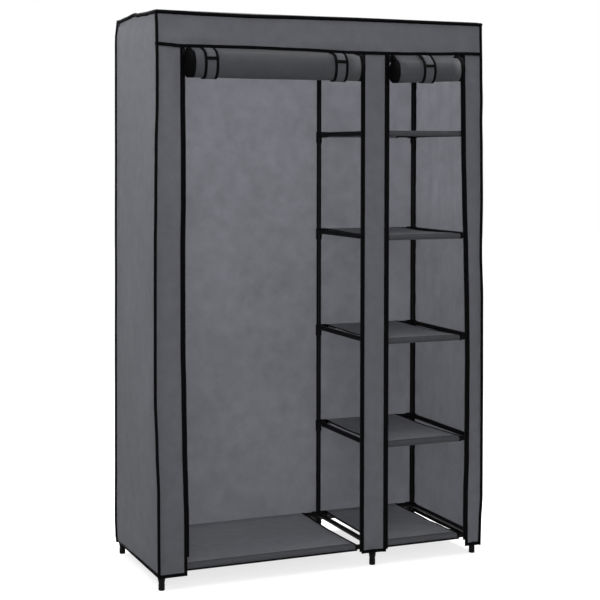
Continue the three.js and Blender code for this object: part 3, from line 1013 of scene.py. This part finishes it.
def zip_tape(name):
    edge, side, zip_end, overlap = ZIPS[name]
    sewn_x = beside_zip(name, TAPE_WIDTH)
    tape_y = FRONT + TAPE_INSET

    def binding_place(u, v):
        z = mix(front_hem(edge(HEM)), seam_z(edge(HANGING_TOP)), v)
        x = sewn_x(z) + side * mix(-overlap, BINDING_WIDTH, u)
        return (x, FRONT + BINDING_INSET, z)

    def tape_place(u, v):
        z = mix(zip_end, HANGING_TOP, v)
        return (mix(sewn_x(z) + side * (BINDING_WIDTH - BINDING_LAP), edge(z), u), tape_y, z)

    finish(cloth(name + "_binding", grid(3, 90, binding_place), TAPE_THICKNESS), BLACK_TAPE, name)
    finish(cloth(name + "_tape", grid(2, 90, tape_place), THIN_TAPE_THICKNESS), BLACK_TAPE, name)
    finish(zip_teeth(name, edge, side, tape_y, zip_end), ZIP_NYLON, name)


def zip_teeth(name, edge, side, tape_y, zip_end):
    near = tape_y - TOOTH_DEPTH / 2
    far = tape_y + TOOTH_DEPTH / 2
    vertices = []
    faces = []
    for tooth in range(int((HANGING_TOP - zip_end) / TOOTH_PITCH)):
        middle = zip_end + (tooth + 0.5) * TOOTH_PITCH
        inner = edge(middle) - side * TOOTH_GRIP
        outer = edge(middle) + side * TOOTH_REACH
        faces += tube_faces(4, 2, first=len(vertices))
        for z in (middle - TOOTH_HEIGHT / 2, middle + TOOTH_HEIGHT / 2):
            vertices += [(inner, near, z), (outer, near, z), (outer, far, z), (inner, far, z)]
    return new_object(name + "_teeth", vertices, faces, smooth_shading=False)


def plate(name, outline, start_y, end_y, bevel):
    """A plate from an outline of (sideways, height) points, between two depths, with soft edges."""
    depths = (start_y, end_y)
    obj = prism(name, outline, lambda point, end: (point[0], depths[end], point[1]))
    working = bmesh.new()
    working.from_mesh(obj.data)
    bmesh.ops.bevel(
        working, geom=working.edges[:], offset=bevel, segments=2, affect="EDGES", profile=0.7,
    )
    working.to_mesh(obj.data)
    working.free()
    return obj


def mirrored(middle_x, right_half):
    """A whole outline from the right half of it, as (distance from the middle, height) points."""
    left_half = [(-x, z) for x, z in reversed(right_half)]
    return [(middle_x + x, z) for x, z in right_half + left_half]


SLIDER_PLATE = 1.3 * MM
PLATE_BEVEL = 0.35 * MM
CORE_BEVEL = 0.1 * MM
# The corners of the slider's plates: (distance in from the side, distance from the top or bottom)
PLATE_TOP = ((3 * MM, 0), (1.2 * MM, 0.6 * MM), (0, 3 * MM))
PLATE_BOTTOM = ((1.4 * MM, 1 * MM), (2.4 * MM, 0))
# The corners of its core: (distance from the middle, distance from the top or bottom)
CORE_TOP = (1.4 * MM, 1 * MM)
CORE_BOTTOM = (2 * MM, 3 * MM)
# From the top of the pull's CAD solid to the middle of the pin
PIN_DROP = 2.3 * MM
PIN_RADIUS = 0.9 * MM
PIN_LENGTH = 8.4 * MM
# The lugs that hold the pin: how far they stand out, their distance from the middle and section
LUG_DEPTH = 5 * MM
LUG_PLACE = 3.8 * MM
LUG_SIDE = 1.3 * MM
LUG_CORNER = 0.3 * MM
# A lug's path over the pin: (which depth it is measured from, distance behind that, height over the pin)
LUG_PATH = (
    ("plate", 0.3 * MM, 3.4 * MM), ("pin", 0.3 * MM, 1.6 * MM), ("pin", -0.6 * MM, 0),
    ("pin", 0.3 * MM, -1.6 * MM), ("plate", 0.3 * MM, -2.6 * MM),
)


def slider_shell(name, middle_x, half, bottom, top, front_y, back_y):
    """Two plates and the core that holds them together."""
    right_half = [(half - inset, top - drop) for inset, drop in PLATE_TOP]
    right_half += [(half - inset, bottom + rise) for inset, rise in PLATE_BOTTOM]
    outline = mirrored(middle_x, right_half)
    core = mirrored(middle_x, [(CORE_TOP[0], top - CORE_TOP[1]), (CORE_BOTTOM[0], bottom + CORE_BOTTOM[1])])
    solids = [
        plate("plate", outline, start, start + SLIDER_PLATE, PLATE_BEVEL)
        for start in (front_y, back_y - SLIDER_PLATE)
    ]
    inset = SLIDER_PLATE / 2
    solids.append(plate("core", core, front_y + inset, back_y - inset, CORE_BEVEL))
    return merged(name + "_slider_shell", solids)


def slider_bridge(name, middle_x, front_y, pin_y, pin_z):
    """Two lugs on the slider's front and the pin between them."""
    depths = {"plate": front_y, "pin": pin_y}
    section = rounded_box(LUG_SIDE, LUG_SIDE, LUG_CORNER)
    parts = []
    for x in (middle_x - LUG_PLACE, middle_x + LUG_PLACE):
        path = [(x, depths[place] + behind, pin_z + rise) for place, behind, rise in LUG_PATH]
        parts.append(sweep("lug", path, section, (1, 0, 0)))
    start = (middle_x - PIN_LENGTH / 2, pin_y, pin_z)
    parts.append(turned("pin", start, "x", [(0, PIN_RADIUS), (PIN_LENGTH, PIN_RADIUS)], 16))
    return merged(name + "_slider_bridge", parts)


def zip_slider(name):
    lower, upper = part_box(name + "_slider")
    middle_x = centre(name + "_slider", X)
    front_y = lower[Y] + LUG_DEPTH
    pin_y = centre(name + "_pull", Y)
    pin_z = high(name + "_pull", Z) - PIN_DROP
    half = (upper[X] - lower[X]) / 2
    shell = slider_shell(name, middle_x, half, lower[Z], upper[Z], front_y, upper[Y])
    bridge = slider_bridge(name, middle_x, front_y, pin_y, pin_z)
    for obj in (shell, bridge):
        finish(obj, BLACK_METAL, name + "_slider", name + "_slider_body")
    zip_pull(name, middle_x, pin_y, pin_z)


PULL_HALF_TOP = 2.1 * MM
PULL_HALF_LOW = 2.8 * MM
PULL_THICKNESS = 1.4 * MM
PULL_BEVEL = 0.3 * MM
# The tab's top and the place where its sides begin, under the pin
PULL_TOP = 2 * MM
PULL_SHOULDER = 4 * MM
EYE_RADIUS = 1.75 * MM
EYE_WALL = 0.9 * MM
EYE_WIDTH = 4 * MM


def zip_pull(name, middle_x, pin_y, pin_z):
    """A flat tapered tab that hangs on the slider's pin by an eye."""
    round_z = low(name + "_pull", Z) + PULL_HALF_LOW
    bottom = [(math.cos(turn), -math.sin(turn)) for turn in levels(0, math.pi, 12)]
    outline = [(middle_x + PULL_HALF_LOW * a, round_z + PULL_HALF_LOW * b) for a, b in bottom]
    for side, drop in ((-1, PULL_SHOULDER), (-1, PULL_TOP), (1, PULL_TOP), (1, PULL_SHOULDER)):
        outline.append((middle_x + side * PULL_HALF_TOP, pin_z - drop))
    tab = plate("tab", outline, pin_y - PULL_THICKNESS / 2, pin_y + PULL_THICKNESS / 2, PULL_BEVEL)
    ring = [(middle_x, pin_y + y, pin_z + z) for y, z in circle(EYE_RADIUS, 20)]
    section = rounded_box(EYE_WALL, EYE_WIDTH, PULL_BEVEL)
    eye = sweep("eye", ring, section, (1, 0, 0), closed=True)
    finish(merged(name + "_pull_tab", [tab, eye]), BLACK_METAL, name + "_pull", name + "_pull_body")


# Rolled doors
# The innermost turn's share of a roll's size, and the steps in each turn
ROLL_CORE_SHARE = 0.12
ROLL_STEPS = 36
RIGHT_TAPE_WIDTH = 14 * MM
# How far the roll reaches past its sheet on the left, and its cloth inside its CAD solid
ROLL_SPREAD = 4 * MM
ROLL_INSET = 0.7 * MM
# How much further left the inner turns reach, and the share of the cloth before they do so fully
CORE_REACH = 5 * MM
CORE_REACH_SHARE = 0.14
# How loosely the turns lie, and how far their edges stray along the roll
LOOSE_HEIGHT = 0.5 * MM
LOOSE_SCALES = (9, 0.2)
EDGE_SHIFT = 0.6 * MM
EDGE_SHIFT_RATE = 0.37
DOOR_THICKNESS = 0.7 * MM
EDGE_TAPE_RISE = 0.15 * MM
COIL_RADIUS = 0.7 * MM


class Roll:
    """A rolled door: its place and size from its CAD solids, and what sets it apart from the other."""

    def __init__(self, name, turns, columns, seed, slope, left_tape, fold):
        lower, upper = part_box(name + "_door_roll")
        self.name = name
        self.turns = turns
        self.columns = columns
        self.seed = seed
        self.slope = slope
        self.fold = fold
        self.joint = name + "_door_lowers"
        self.start = low(name + "_door_sheet", X) - ROLL_SPREAD
        self.end = high(name + "_door_sheet", X)
        self.inner = (self.start + left_tape, self.end - RIGHT_TAPE_WIDTH)
        self.half_depth = (upper[Y] - lower[Y]) / 2
        self.half_height = (upper[Z] - lower[Z] - abs(slope)) / 2
        self.y = (upper[Y] + lower[Y]) / 2
        self.z = (upper[Z] + lower[Z]) / 2

    def level(self, x):
        share = (x - self.start) / (self.end - self.start)
        return self.z + (share - 0.5) * self.slope

    def touching(self, level, play=0.0):
        """The turn at which a line from the seam touches the front of an oval about the roll's axis."""
        across = (FRONT - self.y) / (self.half_depth + play)
        up = (HANGING_TOP - level) / (self.half_height + play)
        return math.atan2(up, across) + math.acos(1 / math.hypot(across, up))

    def point(self, x, turn, grow=0.0, size=1.0):
        return (
            x,
            self.y + (self.half_depth * size + grow) * math.cos(turn),
            self.level(x) + (self.half_height * size + grow) * math.sin(turn),
        )

    def spiral(self, start, end, columns, grow):
        """Points of the cloth, from the seam side inwards, between two places along the roll."""
        first = self.touching(self.z)

        def place(u, v):
            x = mix(start, end, v)
            turn = first + 2 * math.pi * self.turns * u
            size = 1 - (1 - ROLL_CORE_SHARE) * u
            loose = LOOSE_HEIGHT * ripple(x, turn, self.seed, *LOOSE_SCALES) * (1 - u)
            shift = EDGE_SHIFT * math.sin(turn * EDGE_SHIFT_RATE + self.seed)
            reach = CORE_REACH * min(1, u / CORE_REACH_SHARE)
            _, y, z = self.point(x, turn, grow + loose - ROLL_INSET, size)
            return (x + shift - reach * (self.end - x) / (self.end - self.start), y, z)
        return grid(int(self.turns * ROLL_STEPS), columns, place)


ROLLS = {
    "left": Roll("left", turns=13.5, columns=14, seed=1.7, slope=0, left_tape=18 * MM, fold=0),
    "right": Roll("right", turns=15, columns=8, seed=4.9, slope=11 * MM, left_tape=14 * MM, fold=12 * MM),
}


def path_length(points):
    middle = points[:, points.shape[1] // 2]
    return float(np.linalg.norm(np.diff(middle, axis=0), axis=1).sum())


def door(roll):
    name = roll.name
    body = name + "_door"
    lip_y = roll.point(roll.start, roll.touching(roll.z))[Y]

    def settle(obj, material):
        finish(obj, material, name + "_door_roll", body)
        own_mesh(obj)

    points = roll.spiral(*roll.inner, roll.columns, 0)
    roll_cloth = cloth(name + "_door_roll_cloth", points, DOOR_THICKNESS)
    settle(roll_cloth, DOOR_CLOTH)
    ends = []
    for side, start, end in (("left", roll.start, roll.inner[0]), ("right", roll.inner[1], roll.end)):
        strip_points = roll.spiral(start, end, 2, EDGE_TAPE_RISE)
        outer = strip_points[:, 0 if side == "left" else -1]
        strip = cloth("strip", strip_points, TAPE_THICKNESS)
        coil = sweep("coil", outer, circle(COIL_RADIUS, 6), (1, 0, 0))
        ends.append(merged(name + "_door_roll_tape_" + side, [strip, coil]))
        settle(ends[-1], BLACK_TAPE)
    flat = (roll.inner[1] - roll.inner[0], path_length(points))
    door_strip(roll)


STRIP_ROWS = 40
STRIP_INSET = 0.5 * MM
STRIP_BOW = 1 * MM
STRIP_TAPE_RISE = 0.2 * MM
SEAM_OVERLAP = 1 * MM
SLIDER_GAP = 0.5 * MM
# The right tape: the share of its length over which it widens, and the place and spread of its fold
TAPE_FLARE_SHARE = 0.6
TAPE_FOLD_PLACE = 0.42
TAPE_FOLD_SHARE = 0.26


def under_seam(x):
    return seam_z(x) - SEAM_BINDING_HEIGHT / 2 + SEAM_OVERLAP


def strip_grid(roll, start, end, columns, forward=0.0):
    """The cloth from the seam to the roll.

    Start and end give its edges' places from its top (0) to its lip (1).
    """
    def place(u, v):
        x = mix(start(u), end(u), v)
        _, lip_y, lip_z = roll.point(x, roll.touching(roll.level(x)), -STRIP_INSET)
        bow = STRIP_BOW * math.sin(math.pi * u)
        y = mix(FRONT + STRIP_INSET - forward, lip_y, u) - bow - forward
        return (x, y, mix(under_seam(x), lip_z, u) - bow)
    return grid(STRIP_ROWS, columns, place)


END_FOLD_THICKNESS = 0.8 * MM
END_FOLD_GAP = 0.7 * MM
END_FOLD_REACH = 0.9 * MM
END_FOLD_RISE = 0.2 * MM


def end_fold(roll, strip_line):
    """The door's edge tape folded back, which closes the space between strip, roll and cover."""
    x = high(roll.name + "_door_zip_left_slider", X) + END_FOLD_GAP
    last = roll.touching(roll.level(x))
    outline = [(y, z) for _, y, z in strip_line]
    outline += [roll.point(x, turn, END_FOLD_RISE)[1:] for turn in levels(last, 0, 16)[1:-1]]
    outline += [(FRONT - END_FOLD_REACH, z) for z in levels(roll.level(x), under_seam(x), 10)]

    def place(point, end):
        return (x + end * END_FOLD_THICKNESS, *point)
    return prism(roll.name + "_door_edge_fold", outline, place, smooth_shading=False)


def door_strip(roll):
    name = roll.name
    start, end = roll.inner
    lips = [roll.point(x, roll.touching(roll.level(x))) for x in (roll.start, roll.end)]
    left_end = max(high(name + "_door_zip_left_slider", X) + SLIDER_GAP, roll.start)
    right_end = low(name + "_door_zip_right_slider", X) - SLIDER_GAP

    def settle(obj, material):
        dress(obj, material, name + "_door_sheet")
        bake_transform(obj)

    def fold_edge(u):
        return end - roll.fold * max(0, 1 - ((u - TAPE_FOLD_PLACE) / TAPE_FOLD_SHARE) ** 2)

    def flared_edge(u):
        return mix(right_end, roll.end, min(1, u / TAPE_FLARE_SHARE))

    points = strip_grid(roll, lambda u: start, lambda u: end, 16)
    strip = cloth(name + "_door_sheet_cloth", points, DOOR_THICKNESS)
    settle(strip, DOOR_CLOTH)
    left_points = strip_grid(roll, lambda u: left_end, lambda u: start, 2, STRIP_TAPE_RISE)
    right_points = strip_grid(roll, fold_edge, flared_edge, 2, STRIP_TAPE_RISE)
    tapes = [
        cloth(name + "_door_sheet_tape_left", left_points, TAPE_THICKNESS),
        cloth(name + "_door_sheet_tape_right", right_points, TAPE_THICKNESS),
        end_fold(roll, left_points[:, 0]),
    ]
    for tape in tapes:
        settle(tape, BLACK_TAPE)
    flat = (end - start, path_length(points))


# Straps
STRAP_WIDTH = 45 * MM
STRAP_EDGE = 8.5 * MM
STRAP_THICKNESS = 0.8 * MM
STRAP_EDGE_THICKNESS = 1.4 * MM
# How far the loop and the flap lie off the roll
STRAP_PLAY = 1.6 * MM
FLAP_PLAY = 2.8 * MM
FLAP_BEND_SHARE = 0.35
FLAP_END_INSET = 1 * MM
FLAP_BEND_DROP = 0.5 * MM
LOOP_END = math.radians(150 - 360)
FLAP_START = math.radians(158)
# The bar across the flap's end
BAR_TURNS = (math.radians(163), math.radians(149))
BAR_PLAY = 3.3 * MM
BAR_THICKNESS = 1.6 * MM


def arc_round(roll, x, play, first, last, steps):
    """Points in (y, z) round the roll, from one turn to another."""
    return [roll.point(x, turn, play)[1:] for turn in levels(first, last, steps)]


def curve_to_seam(x, start):
    """Points in (y, z) of a bend from a place on the roll to the seam."""
    end = (FRONT - FLAP_END_INSET, under_seam(x) - FLAP_END_INSET)
    turn = (mix(start[0], end[0], FLAP_BEND_SHARE), end[1] - FLAP_BEND_DROP)
    return [
        tuple(mix(mix(a, b, share), mix(b, c, share), share) for a, b, c in zip(start, turn, end))
        for share in levels(0, 1, 10)[1:]
    ]


def ribbon(name, x, width, path, thickness, columns=4):
    across = levels(x - width / 2, x + width / 2, columns)
    return cloth(name, np.array([[(place, y, z) for place in across] for y, z in path], float), thickness)


def strap(name, node, roll):
    x = centre(node, X)
    level = roll.level(x)
    anchor_y = roll.y + roll.half_depth + STRAP_PLAY
    inner = STRAP_WIDTH - 2 * STRAP_EDGE
    loop = [(anchor_y, z) for z in levels(under_seam(x), level, 6)[:-1]]
    loop += arc_round(roll, x, STRAP_PLAY, 0, LOOP_END, 34)
    flap = arc_round(roll, x, FLAP_PLAY, FLAP_START, roll.touching(level, FLAP_PLAY), 8)
    flap += curve_to_seam(x, flap[-1])
    bar_path = arc_round(roll, x, BAR_PLAY, *BAR_TURNS, 3)

    def settle(obj, material):
        finish(obj, material, node)
        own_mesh(obj)

    pieces = {}
    for part, path in (("loop", loop), ("flap", flap)):
        pieces[part] = ribbon(name + "_" + part, x, inner, path, STRAP_THICKNESS)
        settle(pieces[part], STRAP_CLOTH)
    for part, path in (("loop", loop), ("flap", flap)):
        edges = [
            ribbon("edge", x + side * (inner + STRAP_EDGE) / 2, STRAP_EDGE, path, STRAP_EDGE_THICKNESS, 2)
            for side in (-1, 1)
        ]
        if part == "flap":
            edges.append(ribbon("bar", x, STRAP_WIDTH, bar_path, BAR_THICKNESS))
        trim = merged(name + "_" + part + "_binding", edges)
        settle(trim, BLACK_TAPE)
        length = sum(math.dist(a, b) for a, b in zip(path, path[1:]))


# Shelves and floors
SLEEVE_RADIUS = 8.5 * MM
POLE_RADIUS = 8 * MM
SLEEVED_POLE_RADIUS = 7.9 * MM
POLE_BEVEL = 0.8 * MM
SHELF_THICKNESS = 0.8 * MM
# From a shelf's front or back edge to the middle of the pole there
SHELF_POLE_INSET = 8.8 * MM
# Where a sleeve's seam and its free flange lie: how far from the pole's middle, and under its top
SLEEVE_SEAM_REACH = 17 * MM
FLANGE_REACH = 26 * MM
FLANGE_DROP = 1.4 * MM
# Where the flat of a sheet starts and ends between the poles
FLAT_SHARES = (0.04, 0.96)
BOTTOM_STRIP_RADIUS = 4 * MM
BOTTOM_STRIP_TURN = math.radians(-123)
EDGE_BINDING_WIDTH = 7 * MM
EDGE_BINDING_OVERLAP = 0.8 * MM
EDGE_BINDING_THICKNESS = 1.8 * MM
# How far a sheet hangs between its poles, its waves' height, and how much lower its edges hang
SHELF_HANG = 2.5 * MM
SHELF_WAVES = 1.5 * MM
SHELF_EDGE_HANG = 1.5 * MM
SHELF_WAVE_SCALES = (3, 3)
EDGE_WAVE_SCALES = (4, 1)
EDGE_WAVE_SEED_STEP = 2
# The higher, the narrower is the part of a sheet that hangs and waves as its edges do
EDGE_POWER = 6
SHELF_COLUMNS = 24
SHELF_NUMBERS = range(1, 5)


def sleeve_profile(front_y, back_y, z):
    """A shelf's section in (y, z): a flange, a sleeve round the front pole, the sheet, the same behind."""
    rise = SLEEVE_RADIUS - FLANGE_DROP
    away = math.hypot(SLEEVE_SEAM_REACH, rise)
    first = math.atan2(rise, SLEEVE_SEAM_REACH) - math.acos(SLEEVE_RADIUS / away)
    half = [(FLANGE_REACH, rise), (SLEEVE_SEAM_REACH, rise)]
    half += [
        (SLEEVE_RADIUS * math.cos(turn), SLEEVE_RADIUS * math.sin(turn))
        for turn in levels(first, -1.5 * math.pi, 18)
    ]
    front = [(front_y + a, z + b) for a, b in half]
    behind = [(back_y - a, z + b) for a, b in reversed(half)]
    middle = [(mix(front_y, back_y, share), z + SLEEVE_RADIUS) for share in levels(*FLAT_SHARES, 26)]
    return front, middle, behind


def pole_profile(length, radius):
    inner = radius - POLE_BEVEL
    return [(0, inner), (POLE_BEVEL, radius), (length - POLE_BEVEL, radius), (length, inner)]


def bottom_dark_strip(start, end, y, z):
    """A thin black strip along the underside of a floor's front sleeve."""
    y += SLEEVE_RADIUS * math.cos(BOTTOM_STRIP_TURN)
    z += SLEEVE_RADIUS * math.sin(BOTTOM_STRIP_TURN)
    points = [(x, y, z) for x in levels(start, end, 24)]
    return sweep("bottom_dark_strip", points, circle(BOTTOM_STRIP_RADIUS, 8), (0, 0, 1))


def edge_binding(path, side):
    """A narrow tape folded over a free edge of cloth, inwards along x from the edge."""
    across = levels(-side * EDGE_BINDING_OVERLAP, side * EDGE_BINDING_WIDTH, 2)
    rows = [[(x + step, y, z) for step in across] for x, y, z in path]
    return cloth("edge_binding", np.array(rows, float), EDGE_BINDING_THICKNESS)


def fabric_shelf(node, left_edge, right_edges, wavy, seed):
    """A sheet sewn round two poles.

    It has a right edge at the front and one at the back, and its left and right edges' waves.
    """
    lower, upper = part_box(node)
    front_y = lower[Y] + SHELF_POLE_INSET
    back_y = upper[Y] - SHELF_POLE_INSET
    z = centre(node, Z)
    front, middle, behind = sleeve_profile(front_y, back_y, z)
    profile = front + middle + behind
    is_floor = "floor" in node

    def station(index, share):
        y, height = profile[index]
        back_share = min(max((y - front_y) / (back_y - front_y), 0), 1)
        x = mix(left_edge, mix(*right_edges, back_share), share)
        flat_index = index - len(front)
        if 0 <= flat_index < len(middle):
            along = (flat_index + 1) / (len(middle) + 1)
            between = math.sin(math.pi * along)
            edge = abs(2 * share - 1) ** EDGE_POWER
            waves = SHELF_WAVES * ripple(share, along, seed, *SHELF_WAVE_SCALES)
            height -= between * (SHELF_HANG + waves + SHELF_EDGE_HANG * edge)
            wave = wavy[1] if share > 0.5 else wavy[0]
            x += between * edge * wave * ripple(along, share, seed + EDGE_WAVE_SEED_STEP, *EDGE_WAVE_SCALES)
        return (x, y, height)

    shares = levels(0, 1, SHELF_COLUMNS)
    points = np.array([[station(index, share) for share in shares] for index in range(len(profile))])
    sheet = cloth(node + "_cloth", points, SHELF_THICKNESS)
    finish(sheet, SHELF_CLOTH, node)
    # The front sleeve takes the cloth with painted shade; the back sleeve keeps the shelf's cloth
    sheet.data.materials.append(SHADED_FLOOR_SLEEVE_CLOTH if is_floor else SHADED_SLEEVE_CLOTH)
    sleeve_end = front_y + (SLEEVE_SEAM_REACH + SLEEVE_RADIUS) / 2
    for polygon in sheet.data.polygons:
        if polygon.center.y < sleeve_end:
            polygon.material_index = 1
    trims = [edge_binding(points[:, 0], 1), edge_binding(points[:, -1], -1)]
    if is_floor:
        trims.append(bottom_dark_strip(left_edge, right_edges[0], front_y, z))
    trim = merged(node + "_binding", trims)
    finish(trim, BLACK_TAPE, node)
    flat = (sum(right_edges) / 2 - left_edge, path_length(points))
    pole = pole_profile(upper[X] - lower[X], SLEEVED_POLE_RADIUS)
    poles = [turned("pole", (lower[X], y, z), "x", pole) for y in (front_y, back_y)]
    finish(merged(node + "_poles", poles), BLACK_STEEL, node)


# From the columns' middles to the left floor's left and right edges
LEFT_FLOOR_GAPS = (48 * MM, 57 * MM)
# The same for the right bay's sheets, whose right edges have a gap at the front and one at the back
SHELF_LEFT_GAP = 23 * MM
SHELF_RIGHT_GAPS = (47 * MM, 65 * MM)
RIGHT_FLOOR_GAPS = (53 * MM, 63 * MM)
# How far the left and right edges wave
SHELF_EDGE_WAVES = (2 * MM, 2 * MM)
RIGHT_FLOOR_EDGE_WAVES = (0.5 * MM, 7 * MM)
LEFT_FLOOR_SEED = 1.1
SHELF_SEED = 3.3
SHELF_SEED_STEP = 0.7


def shelves():
    left, middle, right = (centre("column_front_" + side, X) for side in ("left", "middle", "right"))
    left_gap, right_gap = LEFT_FLOOR_GAPS
    right_edges = (middle - right_gap, middle - right_gap)
    fabric_shelf("left_floor", left + left_gap, right_edges, (0, 0), LEFT_FLOOR_SEED)
    for node in ["right_floor"] + ["shelf_%d" % shelf for shelf in SHELF_NUMBERS]:
        is_floor = node == "right_floor"
        gaps = RIGHT_FLOOR_GAPS if is_floor else SHELF_RIGHT_GAPS
        wavy = RIGHT_FLOOR_EDGE_WAVES if is_floor else SHELF_EDGE_WAVES
        seed = SHELF_SEED + len(node) + ord(node[-1]) * SHELF_SEED_STEP
        right_edges = [right - gap for gap in gaps]
        fabric_shelf(node, middle + SHELF_LEFT_GAP, right_edges, wavy, seed)


# Frame
CONNECTOR_RADIUS = 10.5 * MM
ARM_REACH = 22 * MM
TEE_HALF = 16 * MM
SLEEVE_RISE = 8 * MM
SLEEVE_HEM_GAP = 0.3 * MM
# Half of an arm's outline, from its mouth: (distance along, how far inside the radius)
ARM_MOUTH = (
    (0, 1.0 * MM), (0.4 * MM, 0.3 * MM), (1.2 * MM, 0), (3.2 * MM, 0), (3.6 * MM, 0.5 * MM),
)
# The base connector's flare over a foot: (height over the foot, radius)
FLARE = ((0, 9 * MM), (2 * MM, 9.3 * MM), (14 * MM, 11.3 * MM), (18.2 * MM, 11.4 * MM))
FOOT_HEIGHT = 20 * MM
FOOT_RADIUS = 9.8 * MM
# A foot cap's outline: (height, how far inside the radius), and the same down from its top
FOOT_BOTTOM = ((0, 1.4 * MM), (0.5 * MM, 0.5 * MM), (1.6 * MM, 0))
FOOT_TOP = ((1 * MM, 0), (0.3 * MM, 0.7 * MM))
FOOT_LAP = 2 * MM
COLUMN_SIDES = 28


def connector_arm(length):
    """A connector's arm: rounded rims and a shallow step round each mouth."""
    mouth = [(along, CONNECTOR_RADIUS - inset) for along, inset in ARM_MOUTH]
    return mouth + [(length - along, radius) for along, radius in reversed(mouth)]


def arm(axis, middle, side):
    """A short arm of a connector from its middle, forwards or backwards along an axis."""
    start = Vector(middle)
    if side < 0:
        start -= Vector(AXES[axis]) * ARM_REACH
    return turned("arm", start, axis, connector_arm(ARM_REACH))


def rail(name, arms, tee=0):
    """A pole from front to back with a connector at each end. Arms say on which sides they reach out."""
    lower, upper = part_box(name)
    is_base = "base" in name
    x = centre("column_front_" + name.split("_")[0], X)
    z = upper[Z] - CONNECTOR_RADIUS
    bottom = HEM - SLEEVE_HEM_GAP if is_base else lower[Z]
    front_y = centre("column_front_left", Y)
    back_y = centre("column_back_left", Y)
    pole = turned(name + "_pole", (x, front_y, z), "y", pole_profile(back_y - front_y, POLE_RADIUS))
    finish(pole, BLACK_STEEL, name)
    for end, y, inward in (("front", front_y, 1), ("back", back_y, -1)):
        parts = [turned("sleeve", (x, y, bottom), "z", connector_arm(z + SLEEVE_RISE - bottom))]
        parts.append(arm("y", (x, y, z), inward))
        parts += [arm("x", (x, y, z), side) for side in arms]
        if is_base:
            parts.append(turned("flare", (x, y, FOOT_HEIGHT), "z", FLARE))
        finish(fused(name + "_connector_" + end, parts), BLACK_PLASTIC, name)
    if tee:
        y = (front_y + back_y) / 2
        sleeve = turned("sleeve", (x, y - TEE_HALF, z), "y", connector_arm(2 * TEE_HALF))
        finish(fused(name + "_tee", [sleeve, arm("x", (x, y, z), tee)]), BLACK_PLASTIC, name)


def rails():
    rail("left_rail_base", (1,))
    rail("left_rail_top", (1,), tee=1)
    rail("middle_rail_base", (-1, 1))
    rail("middle_rail_top", (-1, 1), tee=-1)
    rail("right_rail_base", (-1,))
    rail("right_rail_top", (-1,))
    for shelf in SHELF_NUMBERS:
        rail("middle_rail_%d" % shelf, (1,))
        rail("right_rail_%d" % shelf, (-1,))


def columns():
    foot_profile = [(height, FOOT_RADIUS - inset) for height, inset in FOOT_BOTTOM]
    foot_profile += [(FOOT_HEIGHT - drop, FOOT_RADIUS - inset) for drop, inset in FOOT_TOP]
    bottom = FOOT_HEIGHT - FOOT_LAP
    for depth in ("front", "back"):
        for side in ("left", "middle", "right"):
            name = "column_%s_%s" % (depth, side)
            x = centre(name, X)
            y = centre(name, Y)
            profile = pole_profile(high(name, Z) - bottom, POLE_RADIUS)
            pole = turned(name + "_pole", (x, y, bottom), "z", profile, COLUMN_SIDES)
            foot = turned(name + "_foot", (x, y, 0), "z", foot_profile, COLUMN_SIDES)
            finish(pole, BLACK_STEEL, name)
            finish(foot, BLACK_PLASTIC, name)


CROSS_POLES = (
    "top_pole_front_left", "top_pole_back_left", "top_pole_front_right", "top_pole_back_right",
    "hanging_rod",
)


def cross_poles():
    for name in CROSS_POLES:
        start = (low(name, X), centre(name, Y), centre(name, Z))
        profile = pole_profile(high(name, X) - low(name, X), POLE_RADIUS)
        finish(turned(name + "_tube", start, "x", profile), BLACK_STEEL, name)


def build():
    bpy.context.scene.view_settings.view_transform = "Standard"
    add_camera()
    add_floor()
    add_world()
    add_lights()
    left_side()
    right_side()
    back()
    roof()
    valance()
    front_posts()
    piping()
    seam_binding()
    hem_binding()
    hem_painted_shade()
    post_hems()
    for name in ZIPS:
        zip_tape(name)
        zip_slider(name)
    for roll in ROLLS.values():
        door(roll)
    strap("left_strap_1", "left_door_strap_1", ROLLS["left"])
    strap("left_strap_2", "left_door_strap_2", ROLLS["left"])
    strap("right_strap", "right_door_strap", ROLLS["right"])
    shelves()
    columns()
    rails()
    cross_poles()


build()
